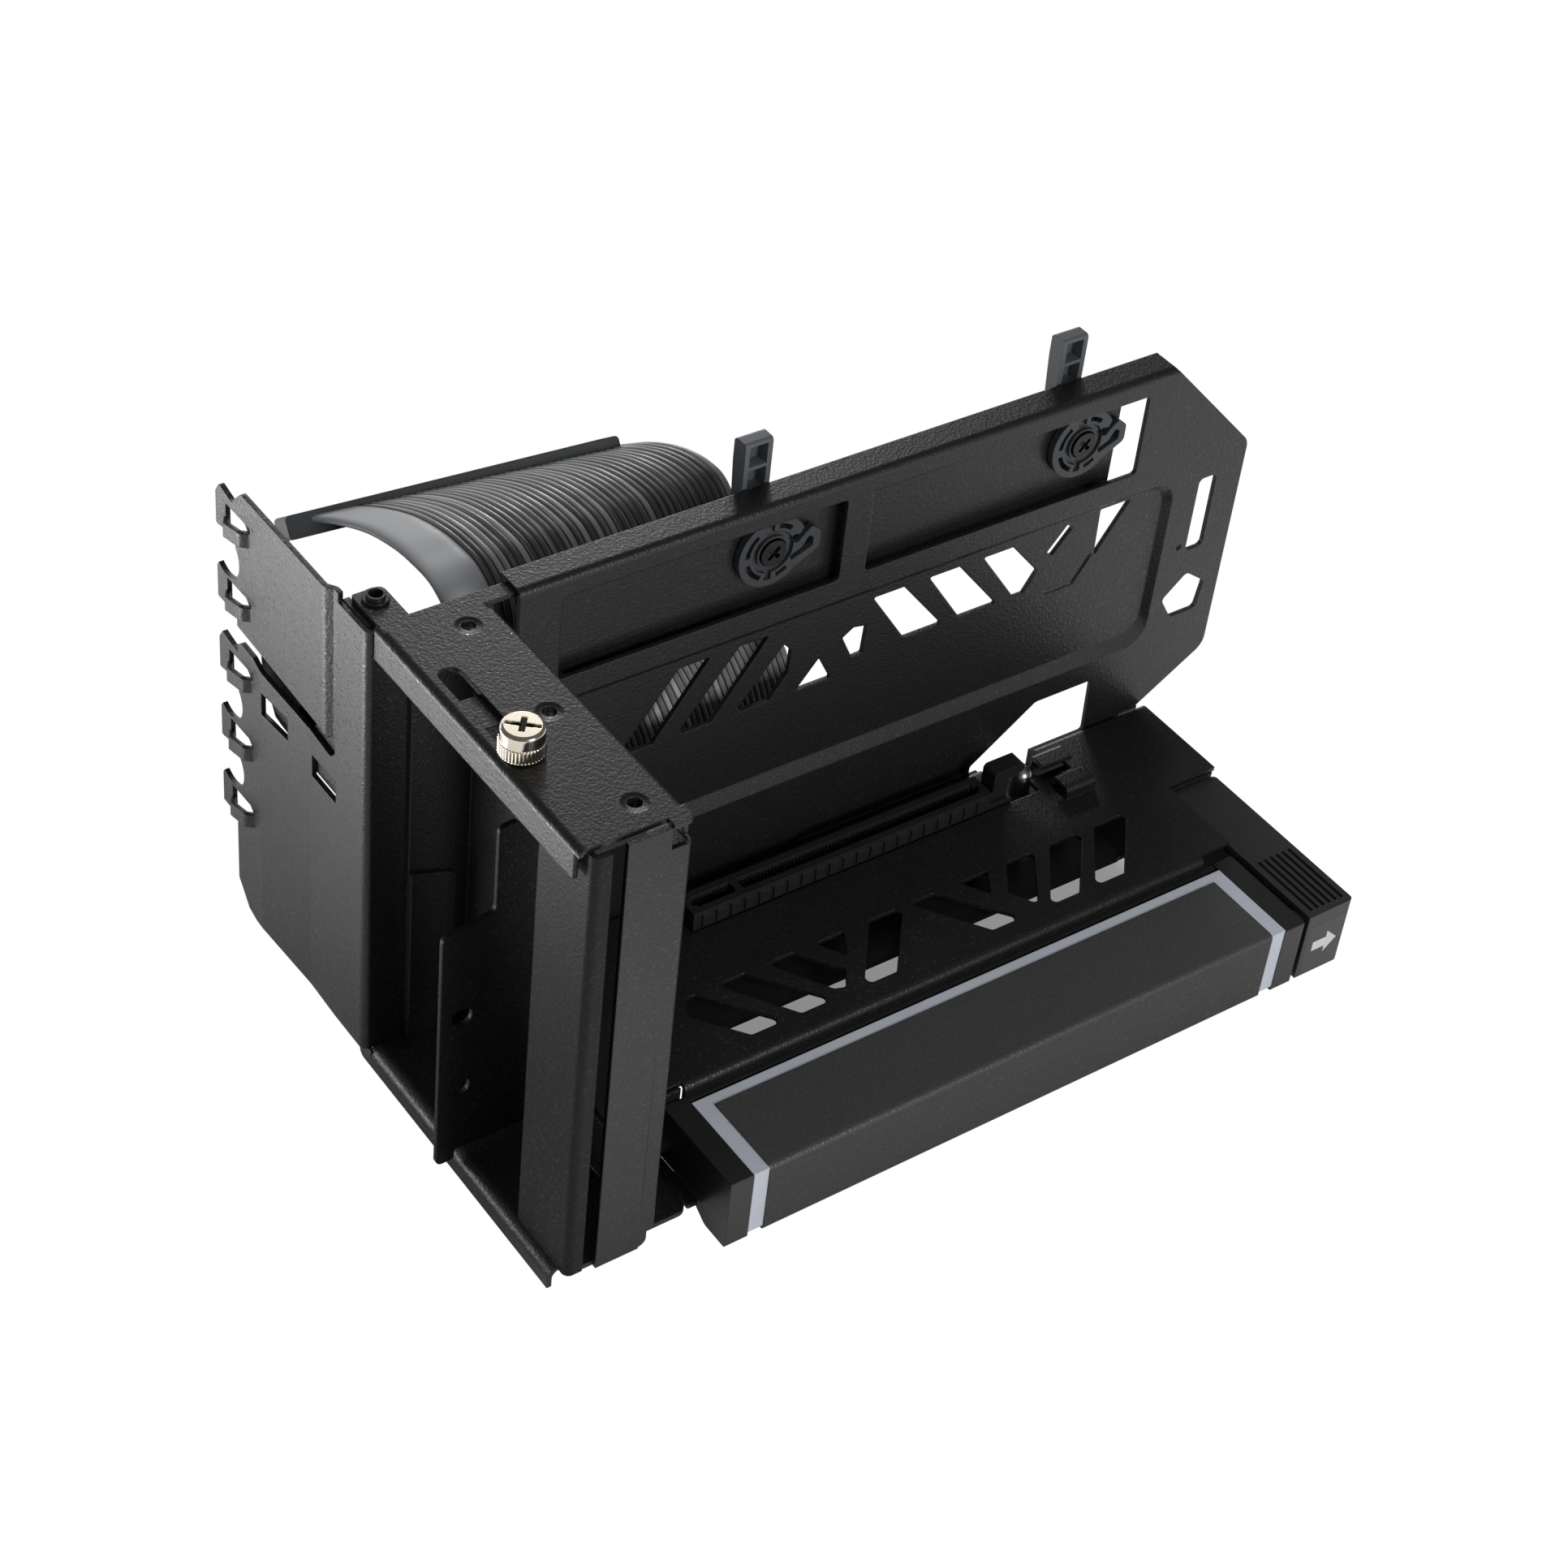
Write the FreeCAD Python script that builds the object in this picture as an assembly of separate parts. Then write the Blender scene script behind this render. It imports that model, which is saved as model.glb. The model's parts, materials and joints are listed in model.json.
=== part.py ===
import FreeCAD, Part
import math
import os

V = FreeCAD.Vector

# Sheet metal
SHEET = 1.2            # steel sheet thickness
BEND = 1.8             # outside bend radius
GAP = 0.3              # air between pieces that move past each other

# End frame that carries the card's bracket
FRAME_W = 25.6         # along X
FRAME_D = 79.4         # along Y
TOP = 129.4            # top plate above the lowest edge
SIDE_LIP = 8.4         # left lip of the top plate
FLOOR = 5.7            # top of the frame's bottom plate
POST_Y = -2.5          # front face of the post
SILL_TOP = 22.0
HOLE_Y = 7.0
HOLE_PITCH = (FRAME_D - 9.2 - HOLE_Y) / 2   # card screw holes along Y
HOLE_X = 17.3
THREAD_R = 1.6
SLOT_X = 5.8           # clamp slot in the top plate
SLOT_Y0 = 27.9
SLOT_Y1 = FRAME_D - 18.9
SLOT_W = 5.2
EAR_X = 4.9            # bushed hole in the ear
EAR_Y = FRAME_D + 7.6
WING_X = FRAME_W + 10.8
SILL_Y = (28.0, 50.0)
SILL_Z = 13.0

# Slot bracket with hooks at the expansion slot pitch
HOOK_PITCH = 20.32
HOOK_COUNT = 5
HOOK_X = -1.5          # outer face of the lower panel
JOG = 1.5              # upper panel stands this far proud
FINGER = 2.0           # lanced fingers stand this far proud
HOOK_TIP = 3.0         # first tip below the top plate
BAR_Y = 143.4          # outer edge of the hooks
BODY_Y = BAR_Y - 8.9   # back edge of the panels
TIP_Y = BAR_Y - 1.4
SLIT_Z = TOP - 40.0    # parts the two panels
BRACKET_FOOT = 5.0

# Card clamp under the top plate
CLAMP_Y = 40.0
CLAMP_FOOT = 8.2
STUD_Y = 30.5
STUD_R = 2.0
HEAD_R = 4.95
HEAD_H = 7.0
NUT_R = 3.8

# Back wall
WALL_Y = FRAME_D - 6.1
WALL_X0 = FRAME_W + 6.1
WALL_L = 211.6
WALL_X1 = WALL_X0 + WALL_L
WALL_TOP = TOP + SHEET
RIM_D = 8.0
WALL_FOOT = TOP - 118.0
PRESS = 1.5            # depth of the pressed panel
STRAP_X = WALL_X0 + 8.3
WALL_RIVET_X = (WALL_X0 + 18.3, WALL_X0 + 73.3, WALL_X0 + 123.3, WALL_X0 + 180.3)

# Swivel clips behind the windows
CLIP_X = (WALL_X0 + 67.3, WALL_X0 + 156.9)
CLIP_Z = TOP - 13.2
CLIP_GAP = 2.5         # wall to clip plate
LEVER_R = 9.2
LEVER_T = 1.8
NECK_R = 5.9
RING_R = 5.6           # inner ring of the lever
HEAD_SEAT = 4.2
SCREW_HEAD = 3.4
RECESS = 1.0
PEG_W = 7.4
PEG_OFF = -1.3
PEG_D = 7.8
PEG_TOP = TOP + 12.8

# Base plate, socket and riser board
BASE_TOP = TOP - 106.0
BASE_Y0 = 18.4
NOTCH_X = FRAME_W + 184.1
NOTCH_Y = WALL_Y - 29.1
SOCKET_TOP = TOP - 101.0
SOCKET_H = 11.25
SOCKET_Y = WALL_Y - 9.8
SOCKET_W = 7.5
KEY_X = FRAME_W + 64.4
PIN_FIRST = 11.5       # key centre to first contact
PIN_LAST = 71.5        # key centre to last contact
SOCKET_END = 3.0
LATCH_X = KEY_X + PIN_LAST + 6.7
LATCH_Z = TOP - 108.0
PIVOT_R = 1.0
BAY_X = (LATCH_X + 3.4, LATCH_X + 20.4)   # opening behind the latch
BAY_Z = BASE_TOP - 6.4
BOARD_T = 1.6
BOARD_X = (FRAME_W + 2.4, FRAME_W + 162.4)
BOARD_Y = (WALL_Y - 38.6, WALL_Y - 2.5)
SCREW_AT = ((BOARD_X[1] - 7.5, BOARD_Y[1] - 3.6), (BOARD_X[1] - 20.0, BOARD_Y[1] - 20.8),
            (BOARD_X[0] + 16.0, BOARD_Y[1] - 20.8), (BOARD_X[0] + 8.0, BOARD_Y[1] - 4.8))

# Riser ribbon: it leans to the left as it rises, turns over and runs back to the plug
MARGIN_X0 = FRAME_W - 3.1
MARGIN_W = 11.6
RIBBON_W = 65.4
RIBBON_Y = WALL_Y + RIM_D + 1.5
RIBBON_T = 2.0
RIBBON_LOW = 8.0
RISE_LOW = 18.0
RISE_TOP = TOP - 20.0
LEAN = 0.35            # sideways per height
TWIST = 3.4            # degrees out of line with the wall
TURN_R = 12.0
FOLD_R = 7.0
CROWN_R = 62.0
CROWN_SWEEP = 44.0
CROWN_Z = TOP - 4.2
CABLE_Y = WALL_Y - 13.3
CABLE_D = 8.0
PLUG_LEFT = V(FRAME_W - 16.1, BODY_Y + 0.8, TOP - 12.0)
PLUG_RIGHT = V(FRAME_W + 61.3, BODY_Y - 13.9, TOP - 6.0)
PLUG_TILT = 38.0
PLUG_D = 13.0
PLUG_T = 5.4
PLUG_END = 3.0
TONGUE = 9.0

# Light bar and release slider
BAR_X = (FRAME_W + 14.4, FRAME_W + 183.8)
BAR_Y0 = -9.0
BAR_TOP = 20.4
BLOCK_W = 6.2
GLOW_W = 4.2
GLOW_BACK = 3.0
COVER_Y1 = 13.0
WALL_T = 1.8
SLIDER_X = (BAR_X[1] + 1.6, BAR_X[1] + 16.0)
SLIDER_Y1 = NOTCH_Y - 0.6
SLIDER_TOP = 21.0
SLIDER_LOW = 0.6
SLIDER_WALL = 2.0
BASE_X1 = SLIDER_X[1]

# The row's origin is the root of the middle hook
ORIGIN = V(HOOK_X, BODY_Y, TOP - HOOK_TIP - 2 * HOOK_PITCH)


def box(x0, x1, y0, y1, z0, z1):
    return Part.makeBox(x1 - x0, y1 - y0, z1 - z0, V(x0, y0, z0))


def rod(radius, start, end):
    span = end - start
    return Part.makeCylinder(radius, span.Length, start, span)


def tube(outer, inner, start, end):
    return rod(outer, start, end).cut(rod(inner, start, end))


# Closed outline with an arc of the given radius at each corner
def outline(points, radii, place):
    if not isinstance(radii, (list, tuple)):
        radii = [radii] * len(points)
    corners = []
    for i, (x, y) in enumerate(points):
        px, py = points[i - 1]
        nx, ny = points[(i + 1) % len(points)]
        a = math.hypot(px - x, py - y)
        b = math.hypot(nx - x, ny - y)
        u = ((px - x) / a, (py - y) / a)
        w = ((nx - x) / b, (ny - y) / b)
        half = math.acos(max(-1.0, min(1.0, u[0] * w[0] + u[1] * w[1]))) / 2
        if radii[i] < 0.01:
            corners.append(((x, y), None, (x, y)))
            continue
        run = radii[i] / math.tan(half)
        bis = math.hypot(u[0] + w[0], u[1] + w[1])
        far = radii[i] / math.sin(half) - radii[i]
        mid = (x + (u[0] + w[0]) / bis * far, y + (u[1] + w[1]) / bis * far)
        corners.append(((x + u[0] * run, y + u[1] * run), mid, (x + w[0] * run, y + w[1] * run)))
    edges = []
    for i, (start, mid, end) in enumerate(corners):
        if mid:
            edges.append(Part.Arc(place(*start), place(*mid), place(*end)).toShape())
        after = corners[(i + 1) % len(corners)][0]
        if math.hypot(after[0] - end[0], after[1] - end[1]) > 1e-6:
            edges.append(Part.makeLine(place(*end), place(*after)))
    return Part.Wire(edges)


def prism(plane, points, start, depth, radii=0):
    place = {
        "xy": lambda u, v: V(u, v, start),
        "xz": lambda u, v: V(u, start, v),
        "yz": lambda u, v: V(start, u, v),
    }[plane]
    push = {"xy": V(0, 0, depth), "xz": V(0, depth, 0), "yz": V(depth, 0, 0)}[plane]
    return Part.Face(outline(points, radii, place)).extrude(push)


# Bent sheet: the line is its outer face, side +1 puts the thickness on the line's left
def bent(plane, line, side, start, depth, radius=BEND):
    steps = []
    for (x0, y0), (x1, y1) in zip(line, line[1:]):
        run = math.hypot(x1 - x0, y1 - y0)
        steps.append(((x1 - x0) / run, (y1 - y0) / run))
    shifted = []
    near = []
    far = []
    for i, (x, y) in enumerate(line):
        d = steps[max(0, i - 1)]
        e = steps[min(i, len(steps) - 1)]
        n = (-d[1] - e[1], d[0] + e[0])
        scale = side * SHEET / (1 + d[0] * e[0] + d[1] * e[1])
        shifted.append((x + n[0] * scale, y + n[1] * scale))
        turn = (d[0] * e[1] - d[1] * e[0]) * side
        inner = max(0.2, radius - SHEET)
        near.append(0 if abs(turn) < 1e-9 else (radius if turn > 0 else inner))
        far.append(0 if abs(turn) < 1e-9 else (inner if turn > 0 else radius))
    return prism(plane, line + shifted[::-1], start, depth, near + far[::-1])


def join(*shapes):
    whole = shapes[0]
    for shape in shapes[1:]:
        whole = whole.fuse(shape)
    return whole.removeSplitter()


def rivet(head, shank, start, end, cap):
    along = (end - start).normalize() * cap
    return join(rod(head, start - along, start), rod(shank, start, end), rod(head, end, end + along))


def slot_bracket():
    proud = HOOK_X - JOG
    root = FRAME_D + 12.1
    strip = bent("xy", [(22.0, FRAME_D), (HOOK_X, FRAME_D), (HOOK_X, root + 1.5)], -1,
                 BRACKET_FOOT, TOP - 1.6 - BRACKET_FOOT)
    upper = bent("xy", [(HOOK_X, root), (HOOK_X, root + 1.5), (proud, root + 3.5), (proud, BAR_Y)], -1,
                 SLIT_Z, TOP + 0.8 - SLIT_Z)
    lower = bent("xy", [(HOOK_X, root), (HOOK_X, root + 12.5), (proud, BODY_Y - 9.5), (proud, BAR_Y)], -1,
                 BRACKET_FOOT - 1, SLIT_Z - BRACKET_FOOT + 1)
    edge = [(root - 0.5, TOP + 0.8), (BODY_Y - 3.0, TOP + 0.8), (BODY_Y + 1.1, TOP - 3.6),
            (BODY_Y, TOP - 8.0), (BODY_Y, TOP - 94.0), (BODY_Y + 2.1, TOP - 97.6),
            (BODY_Y + 2.1, TOP - 115.0), (BODY_Y - 2.9, TOP - 121.2), (BODY_Y - 6.5, TOP - 122.4),
            (root + 1.5, BRACKET_FOOT), (root - 0.5, BRACKET_FOOT)]
    plan = prism("yz", edge, -10, 20, [0, 1.0, 0, 0, 0, 1.0, 1.0, 1.0, 0, 0, 0])
    slit = [(BAR_Y + 7, TOP - 37.2), (BODY_Y - 0.5, TOP - 37.2), (root + 4.5, TOP - 39.0),
            (root + 1.3, TOP - 41.0), (root + 1.3, TOP - 44.4), (root + 3.3, TOP - 46.4),
            (BODY_Y - 10.9, TOP - 43.2), (BODY_Y - 7.1, TOP - 41.4), (BODY_Y - 1.5, TOP - 41.2),
            (BODY_Y + 2.5, TOP - 44.6), (BAR_Y + 7, TOP - 42.0)]
    holes = [prism("yz", slit, -10, 20, [0, 0, 3.0, 1.0, 1.6, 1.0, 0.4, 0.4, 0.8, 0.3, 0])]
    fingers = []
    arm = BODY_Y + 4.3
    for n in range(HOOK_COUNT):
        z = TOP - HOOK_TIP - n * HOOK_PITCH
        hook = [(BODY_Y - 3, z - 0.9), (BODY_Y + 2.3, z - 0.9), (TIP_Y - 0.4, z + 0.2), (BAR_Y, z - 2.6),
                (BAR_Y, z - 11.2), (arm, z - 11.2), (arm, z - 3.2), (BODY_Y - 3, z - 3.2)]
        plan = plan.fuse(prism("yz", hook, -10, 20, [0, 0.4, 0.6, 0.8, 0.6, 0.4, 0, 0]))
        window = [(arm, z - 3.2), (BODY_Y - 4.5, z - 2.9), (BODY_Y - 6.2, z - 4.4), (BODY_Y - 6.2, z - 8.6),
                  (arm, z - 11.4)]
        holes.append(prism("yz", window, -10, 20, [0, 0.4, 0.4, 0.4, 0]))
        if n not in (1, HOOK_COUNT - 1):
            holes.append(rod(6.2, V(-10, BODY_Y + 4.6, z - 16.6), V(10, BODY_Y + 4.6, z - 16.6)))
        bow = [(proud, BODY_Y - 8.5), (proud, BODY_Y - 6.7), (proud - FINGER, BODY_Y - 5.1),
               (proud - FINGER, BODY_Y + 1.9), (proud, BODY_Y + 5.1), (proud, BAR_Y)]
        lance = [(BODY_Y - 9.5, z - 4.5), (BODY_Y - 4.5, z - 4.5), (BODY_Y + 4.5, z - 7.0), (BAR_Y, z - 7.4),
                 (BAR_Y, z - 11.2), (BODY_Y + 4.5, z - 10.6), (BODY_Y - 4.5, z - 8.3),
                 (BODY_Y - 9.5, z - 8.3)]
        fingers.append(bent("xy", bow, -1, z - 12, 10, 1.4).common(prism("yz", lance, -10, 20)))
    holes.append(box(-10, 10, BODY_Y - 21.5, BODY_Y - 10.6, TOP - 55.2, TOP - 49.0))
    holes.append(box(-10, 10, root + 0.9, root + 11.6, TOP - 58.2, TOP - 52.1))
    plate = upper.fuse(lower).common(plan).fuse(strip).cut(Part.makeCompound(holes))
    return join(plate, *fingers)


def end_frame():
    inner = TOP - SHEET
    under = FLOOR - SHEET
    cap = bent("xz", [(0, TOP - SIDE_LIP), (0, TOP), (FRAME_W, TOP), (FRAME_W, TOP - 6)], -1, 0, FRAME_D)
    trims = [box(-1, SHEET + 0.1, -1, 1.7, TOP - 20, TOP - BEND),
             box(-1, SHEET + 0.1, FRAME_D - 0.4, FRAME_D + 10, TOP - 20, TOP - BEND),
             box(FRAME_W - BEND, FRAME_W + 5, WALL_Y - 0.2, FRAME_D + 10, TOP - 20, TOP + 1)]
    cap = cap.cut(Part.makeCompound(trims))
    strap = box(9.0, STRAP_X, FRAME_D - 4.2, FRAME_D, inner, TOP)
    ear_edge = [(0.9, FRAME_D - 3.4), (8.4, FRAME_D - 3.4), (8.4, FRAME_D + 11.2), (0.9, FRAME_D + 11.2)]
    ear = prism("xy", ear_edge, inner, SHEET, [0, 0, 1.6, 0.8])
    horn = prism("xy", [(20.4, 2.0), (20.4, POST_Y), (FRAME_W, POST_Y), (FRAME_W, 2.0)], inner, SHEET,
                 [0, 0.3, 1.8, 0])
    rear = box(9.0, FRAME_W - SHEET, FRAME_D - SHEET, FRAME_D, under, inner + 0.4)
    margin = join(box(FRAME_W - SHEET, FRAME_W, FRAME_D - 19.4, WALL_Y - GAP, under, TOP - 5.0),
                  box(FRAME_W - SHEET, FRAME_W, FRAME_D - 19.4, FRAME_D, under, TOP - 20.0))
    floor = bent("xz", [(0, 0), (0, FLOOR), (FRAME_W, FLOOR)], -1, POST_Y + SHEET, FRAME_D - POST_Y - SHEET,
                 3.2)
    floor = floor.cut(box(-1, 3.4, POST_Y, 1.2, -1, FLOOR + 1))
    floor = floor.cut(box(22.6, FRAME_W + 1, POST_Y, 1.6, 0, FLOOR + 1))
    lip = prism("yz", [(FRAME_D - 1, 0), (FRAME_D + 4.1, 0), (FRAME_D + 4.1, 4.6), (FRAME_D - 1, 4.6)], 0,
                SHEET, [0, 2.0, 0, 0])
    wing_edge = [(FRAME_W - 1, 0.7), (WING_X, 0.7), (WING_X, SILL_Y[1] + 8), (FRAME_W - 1, SILL_Y[1] + 8)]
    wing = prism("xy", wing_edge, under, SHEET, [0, 2.6, 2.6, 0])
    sill = box(FRAME_W - SHEET, FRAME_W, 12.4, FRAME_D - 19.4, under, SILL_TOP)
    body = join(cap, strap, ear, horn, rear, margin, floor, lip, wing, sill)
    end = SLOT_W / 2
    slot = join(box(SLOT_X - end, SLOT_X + end, SLOT_Y0 + end, SLOT_Y1 - end, inner - 1, TOP + 1),
                rod(end, V(SLOT_X, SLOT_Y0 + end, inner - 1), V(SLOT_X, SLOT_Y0 + end, TOP + 1)),
                rod(end, V(SLOT_X, SLOT_Y1 - end, inner - 1), V(SLOT_X, SLOT_Y1 - end, TOP + 1)))
    holes = [slot, rod(THREAD_R, V(EAR_X, EAR_Y, inner - 1), V(EAR_X, EAR_Y, TOP + 1))]
    for n in range(3):
        y = HOLE_Y + n * HOLE_PITCH
        holes.append(rod(THREAD_R, V(HOLE_X, y, inner - 1), V(HOLE_X, y, TOP + 1)))
    for y in SILL_Y:
        holes.append(rod(1.4, V(FRAME_W - 3, y, SILL_Z), V(FRAME_W + 1, y, SILL_Z)))
    return body.cut(Part.makeCompound(holes))


# Stiffening plate on the inside of the rear flange
def rear_gusset():
    back = FRAME_D - SHEET
    top = TOP - 72.0
    edge = [(9.0, FLOOR), (20.6, FLOOR), (20.6, top - 4.0), (9.0, top)]
    return prism("xz", edge, back - SHEET, SHEET, [0, 0, 2.0, 0])


def front_cheek():
    line = [(6.4, POST_Y), (2.2, POST_Y), (2.2, 18.5), (8.6, 18.5)]
    return bent("xy", line, -1, FLOOR, TOP - SHEET - FLOOR)


def front_rail():
    foot = FLOOR - SHEET
    post = bent("xy", [(9.9, POST_Y), (FRAME_W, POST_Y), (FRAME_W, 12.0)], 1, foot, TOP - 0.6 - foot)
    step = box(21.0, FRAME_W + 1, POST_Y - 1, POST_Y + 0.35, 0, 66.0)
    toe = prism("xz", [(0, foot), (23.2, foot), (23.2, 9.6), (FRAME_W + 1, 9.6), (FRAME_W + 1, TOP),
                       (0, TOP)], POST_Y - 5, 30, [0, 2.0, 0.4, 0, 0, 0])
    return post.cut(box(20.2, FRAME_W + 5, -5, 20, TOP - 6.4, TOP + 1)).cut(step).common(toe)


def card_clamp():
    top = TOP - SHEET - 0.2
    shelf = box(1.8, 14.0, 22.0, CLAMP_Y + SHEET, top - SHEET, top)
    edge = [(12.0, top), (14.0, top), (14.0, TOP - 5.0), (21.0, TOP - 5.0), (21.0, CLAMP_FOOT),
            (-0.6, CLAMP_FOOT), (-0.6, 5.2), (-5.2, 5.2), (-5.2, TOP - 54.6), (7.7, TOP - 52.0),
            (7.7, TOP - 28.8), (12.0, TOP - 28.4)]
    blade = prism("xz", edge, CLAMP_Y, SHEET, [0, 0, 0.6, 0, 2.0, 0.8, 1.0, 1.6, 1.6, 1.6, 1.6, 0.6])
    holes = [rod(STUD_R + 0.1, V(SLOT_X, STUD_Y, top - 5), V(SLOT_X, STUD_Y, top + 1))]
    for z in (TOP - 80.0, TOP - 101.6):
        holes.append(rod(2.6, V(0.2, CLAMP_Y - 1, z), V(0.2, CLAMP_Y + 3, z)))
    return join(shelf, blade).cut(Part.makeCompound(holes))


def thumb_screw():
    seat = TOP + GAP
    mid = seat + HEAD_H * 0.55
    top = seat + HEAD_H
    head = join(rod(HEAD_R - 0.9, V(SLOT_X, STUD_Y, seat), V(SLOT_X, STUD_Y, seat + 0.8)),
                rod(HEAD_R, V(SLOT_X, STUD_Y, seat + 0.8), V(SLOT_X, STUD_Y, mid)),
                rod(HEAD_R - 0.25, V(SLOT_X, STUD_Y, mid), V(SLOT_X, STUD_Y, top)),
                rod(STUD_R, V(SLOT_X, STUD_Y, TOP - 8.0), V(SLOT_X, STUD_Y, seat)))
    for angle in (0, 90):
        blade = box(SLOT_X - 0.7, SLOT_X + 0.7, STUD_Y - 2.7, STUD_Y + 2.7, top - 2.0, top + 1)
        blade.rotate(V(SLOT_X, STUD_Y, 0), V(0, 0, 1), angle + 20)
        head = head.cut(blade)
    return head


def clamp_nut():
    z = TOP - 2 * SHEET - 0.2
    hexagon = [(SLOT_X + NUT_R * math.cos(math.radians(60 * n)),
                STUD_Y + NUT_R * math.sin(math.radians(60 * n))) for n in range(6)]
    bore = rod(STUD_R + 0.1, V(SLOT_X, STUD_Y, z - 4), V(SLOT_X, STUD_Y, z + 1))
    return prism("xy", hexagon, z - 2.6, 2.6).cut(bore)


# Slanted vent rows, measured from the left end of each sheet
WALL_VENTS = (
    ((30.3, -55.6), (44.1, -37.5), (52.9, -37.5), (38.5, -57.6), (31.3, -57.6)),
    ((46.1, -56.0), (60.7, -37.5), (69.1, -37.5), (54.7, -57.6), (46.7, -57.6)),
    ((62.1, -56.0), (73.5, -41.8), (75.9, -44.4), (75.7, -50.8), (70.9, -57.6), (62.7, -57.6)),
    ((78.3, -57.6), (84.5, -49.8), (88.7, -57.6)),
    ((90.7, -46.4), (93.7, -44.4), (97.7, -45.2), (97.3, -53.4), (94.3, -53.6)),
    ((98.5, -37.5), (107.5, -37.5), (120.9, -53.6), (109.7, -53.6)),
    ((114.9, -37.5), (123.9, -37.5), (137.5, -53.6), (126.3, -53.6)),
    ((131.1, -37.5), (140.1, -37.5), (149.3, -48.0), (145.9, -53.6), (142.9, -53.6)),
    ((151.3, -43.2), (156.7, -36.6), (158.7, -38.2), (153.3, -44.8)),
    ((166.8, -35.6), (176.6, -35.6), (167.2, -50.2)),
    ((152.6, -55.4), (161.0, -55.4), (165.6, -48.4), (166.8, -49.0), (161.8, -56.6), (152.6, -56.6)),
)
BASE_VENTS = (
    ((33.2, 36.6), (35.8, 41.8), (38.4, 42.0), (50.8, 26.4), (49.6, 24.6), (42.6, 24.6)),
    ((44.6, 42.0), (52.4, 42.0), (64.8, 26.4), (63.4, 24.6), (56.6, 24.6)),
    ((58.7, 42.0), (66.3, 42.0), (74.2, 31.6), (70.6, 26.4), (67.8, 27.4)),
    ((72.6, 42.0), (81.2, 42.0), (77.0, 34.8)),
    ((88.6, 42.0), (96.2, 42.0), (97.0, 40.0), (84.0, 24.6), (76.6, 24.6), (76.0, 26.4)),
    ((100.2, 42.0), (108.0, 42.0), (120.6, 26.4), (119.4, 24.6), (112.6, 24.6)),
    ((115.6, 42.0), (124.4, 42.0), (120.0, 34.8)),
    ((130.2, 42.0), (139.0, 42.0), (128.0, 26.4), (123.8, 33.0)),
    ((143.8, 42.0), (151.7, 42.0), (152.6, 40.0), (139.4, 24.6), (130.4, 24.6)),
    ((158.0, 42.0), (166.2, 42.0), (167.0, 40.2), (153.6, 24.6), (144.4, 24.6)),
)


def back_wall():
    sheet = bent("yz", [(WALL_Y + RIM_D, WALL_TOP), (WALL_Y, WALL_TOP), (WALL_Y, WALL_FOOT)], 1, WALL_X0,
                 WALL_L)
    edge = [(0, WALL_TOP + 1), (181.1, WALL_TOP + 1), (WALL_L, TOP - 28.8), (WALL_L, TOP - 92.9),
            (191.3, TOP - 106.0), (185.3, TOP - 106.4), (185.3, WALL_FOOT - 1), (0, WALL_FOOT - 1)]

    def along(points):
        return [(WALL_X0 + x, z) for x, z in points]

    sheet = sheet.common(prism("xz", along(edge), WALL_Y - 5, 30, [0, 0, 5.0, 5.0, 1.0, 0, 0, 0]))

    def pan(y, grow):
        low = [(10.3 - grow, TOP - 84.0 - grow), (189.3 + grow, TOP - 84.0 - grow),
               (189.3 + grow, TOP - 33.0 + grow), (10.3 - grow, TOP - 33.0 + grow)]
        high = [(12.3 - grow, TOP - 80.0 - grow), (187.3 + grow, TOP - 80.0 - grow),
                (187.3 + grow, TOP - 35.0 + grow), (12.3 - grow, TOP - 35.0 + grow)]
        wires = [outline(along(low), 7.0, lambda u, v: V(u, y, v)),
                 outline(along(high), 6.0, lambda u, v: V(u, y + PRESS, v))]
        return Part.makeLoft(wires, True, True)

    wall = sheet.fuse(pan(WALL_Y + SHEET, 0.5)).cut(pan(WALL_Y, 0))
    holes = []
    for x0, x1 in ((10.7, 86.1), (93.3, 174.7)):
        corners = [(x0, TOP - 26.8), (x1, TOP - 26.8), (x1, TOP - 4.2), (x0, TOP - 4.2)]
        holes.append(prism("xz", along(corners), WALL_Y - 5, 9, 1.2))
    for vent in WALL_VENTS:
        holes.append(prism("xz", along([(x, TOP + z) for x, z in vent]), WALL_Y - 5, 12, 0.4))
    corners = [(197.5, TOP - 58.0), (203.1, TOP - 58.0), (203.1, TOP - 36.0), (197.5, TOP - 36.0)]
    holes.append(prism("xz", along(corners), WALL_Y - 5, 12, 1.5))
    corners = [(192.9, TOP - 72.0), (199.9, TOP - 65.6), (206.7, TOP - 70.6), (205.5, TOP - 78.8),
               (197.1, TOP - 78.8)]
    holes.append(prism("xz", along(corners), WALL_Y - 5, 12, 1.5))
    corners = [(136.6, TOP - 107.4), (136.6, TOP - 104.2), (155.3, TOP - 90.4), (173.5, TOP - 90.4),
               (174.1, TOP - 107.4)]
    holes.append(prism("xz", along(corners), WALL_Y - 5, 12, [1.2, 1.0, 2.0, 1.5, 1.0]))
    holes.append(box(BAY_X[0], BAY_X[1], WALL_Y - 5, WALL_Y + 7, BAY_Z, TOP - 106.0))
    holes.append(box(WALL_X0 + 83.6, WALL_X0 + 135.2, WALL_Y - 5, WALL_Y + 7, BASE_TOP, BASE_TOP + 3.2))
    dot = V(WALL_X0 + 195.0, WALL_Y, TOP - 56.0)
    holes.append(rod(0.9, dot - V(0, 5, 0), dot + V(0, 5, 0)))
    for x in WALL_RIVET_X:
        holes.append(rod(1.5, V(x, WALL_Y - 5, WALL_FOOT + 5), V(x, WALL_Y + 5, WALL_FOOT + 5)))
    return wall.cut(Part.makeCompound(holes))


CLIP_Y = WALL_Y + SHEET + CLIP_GAP


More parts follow.
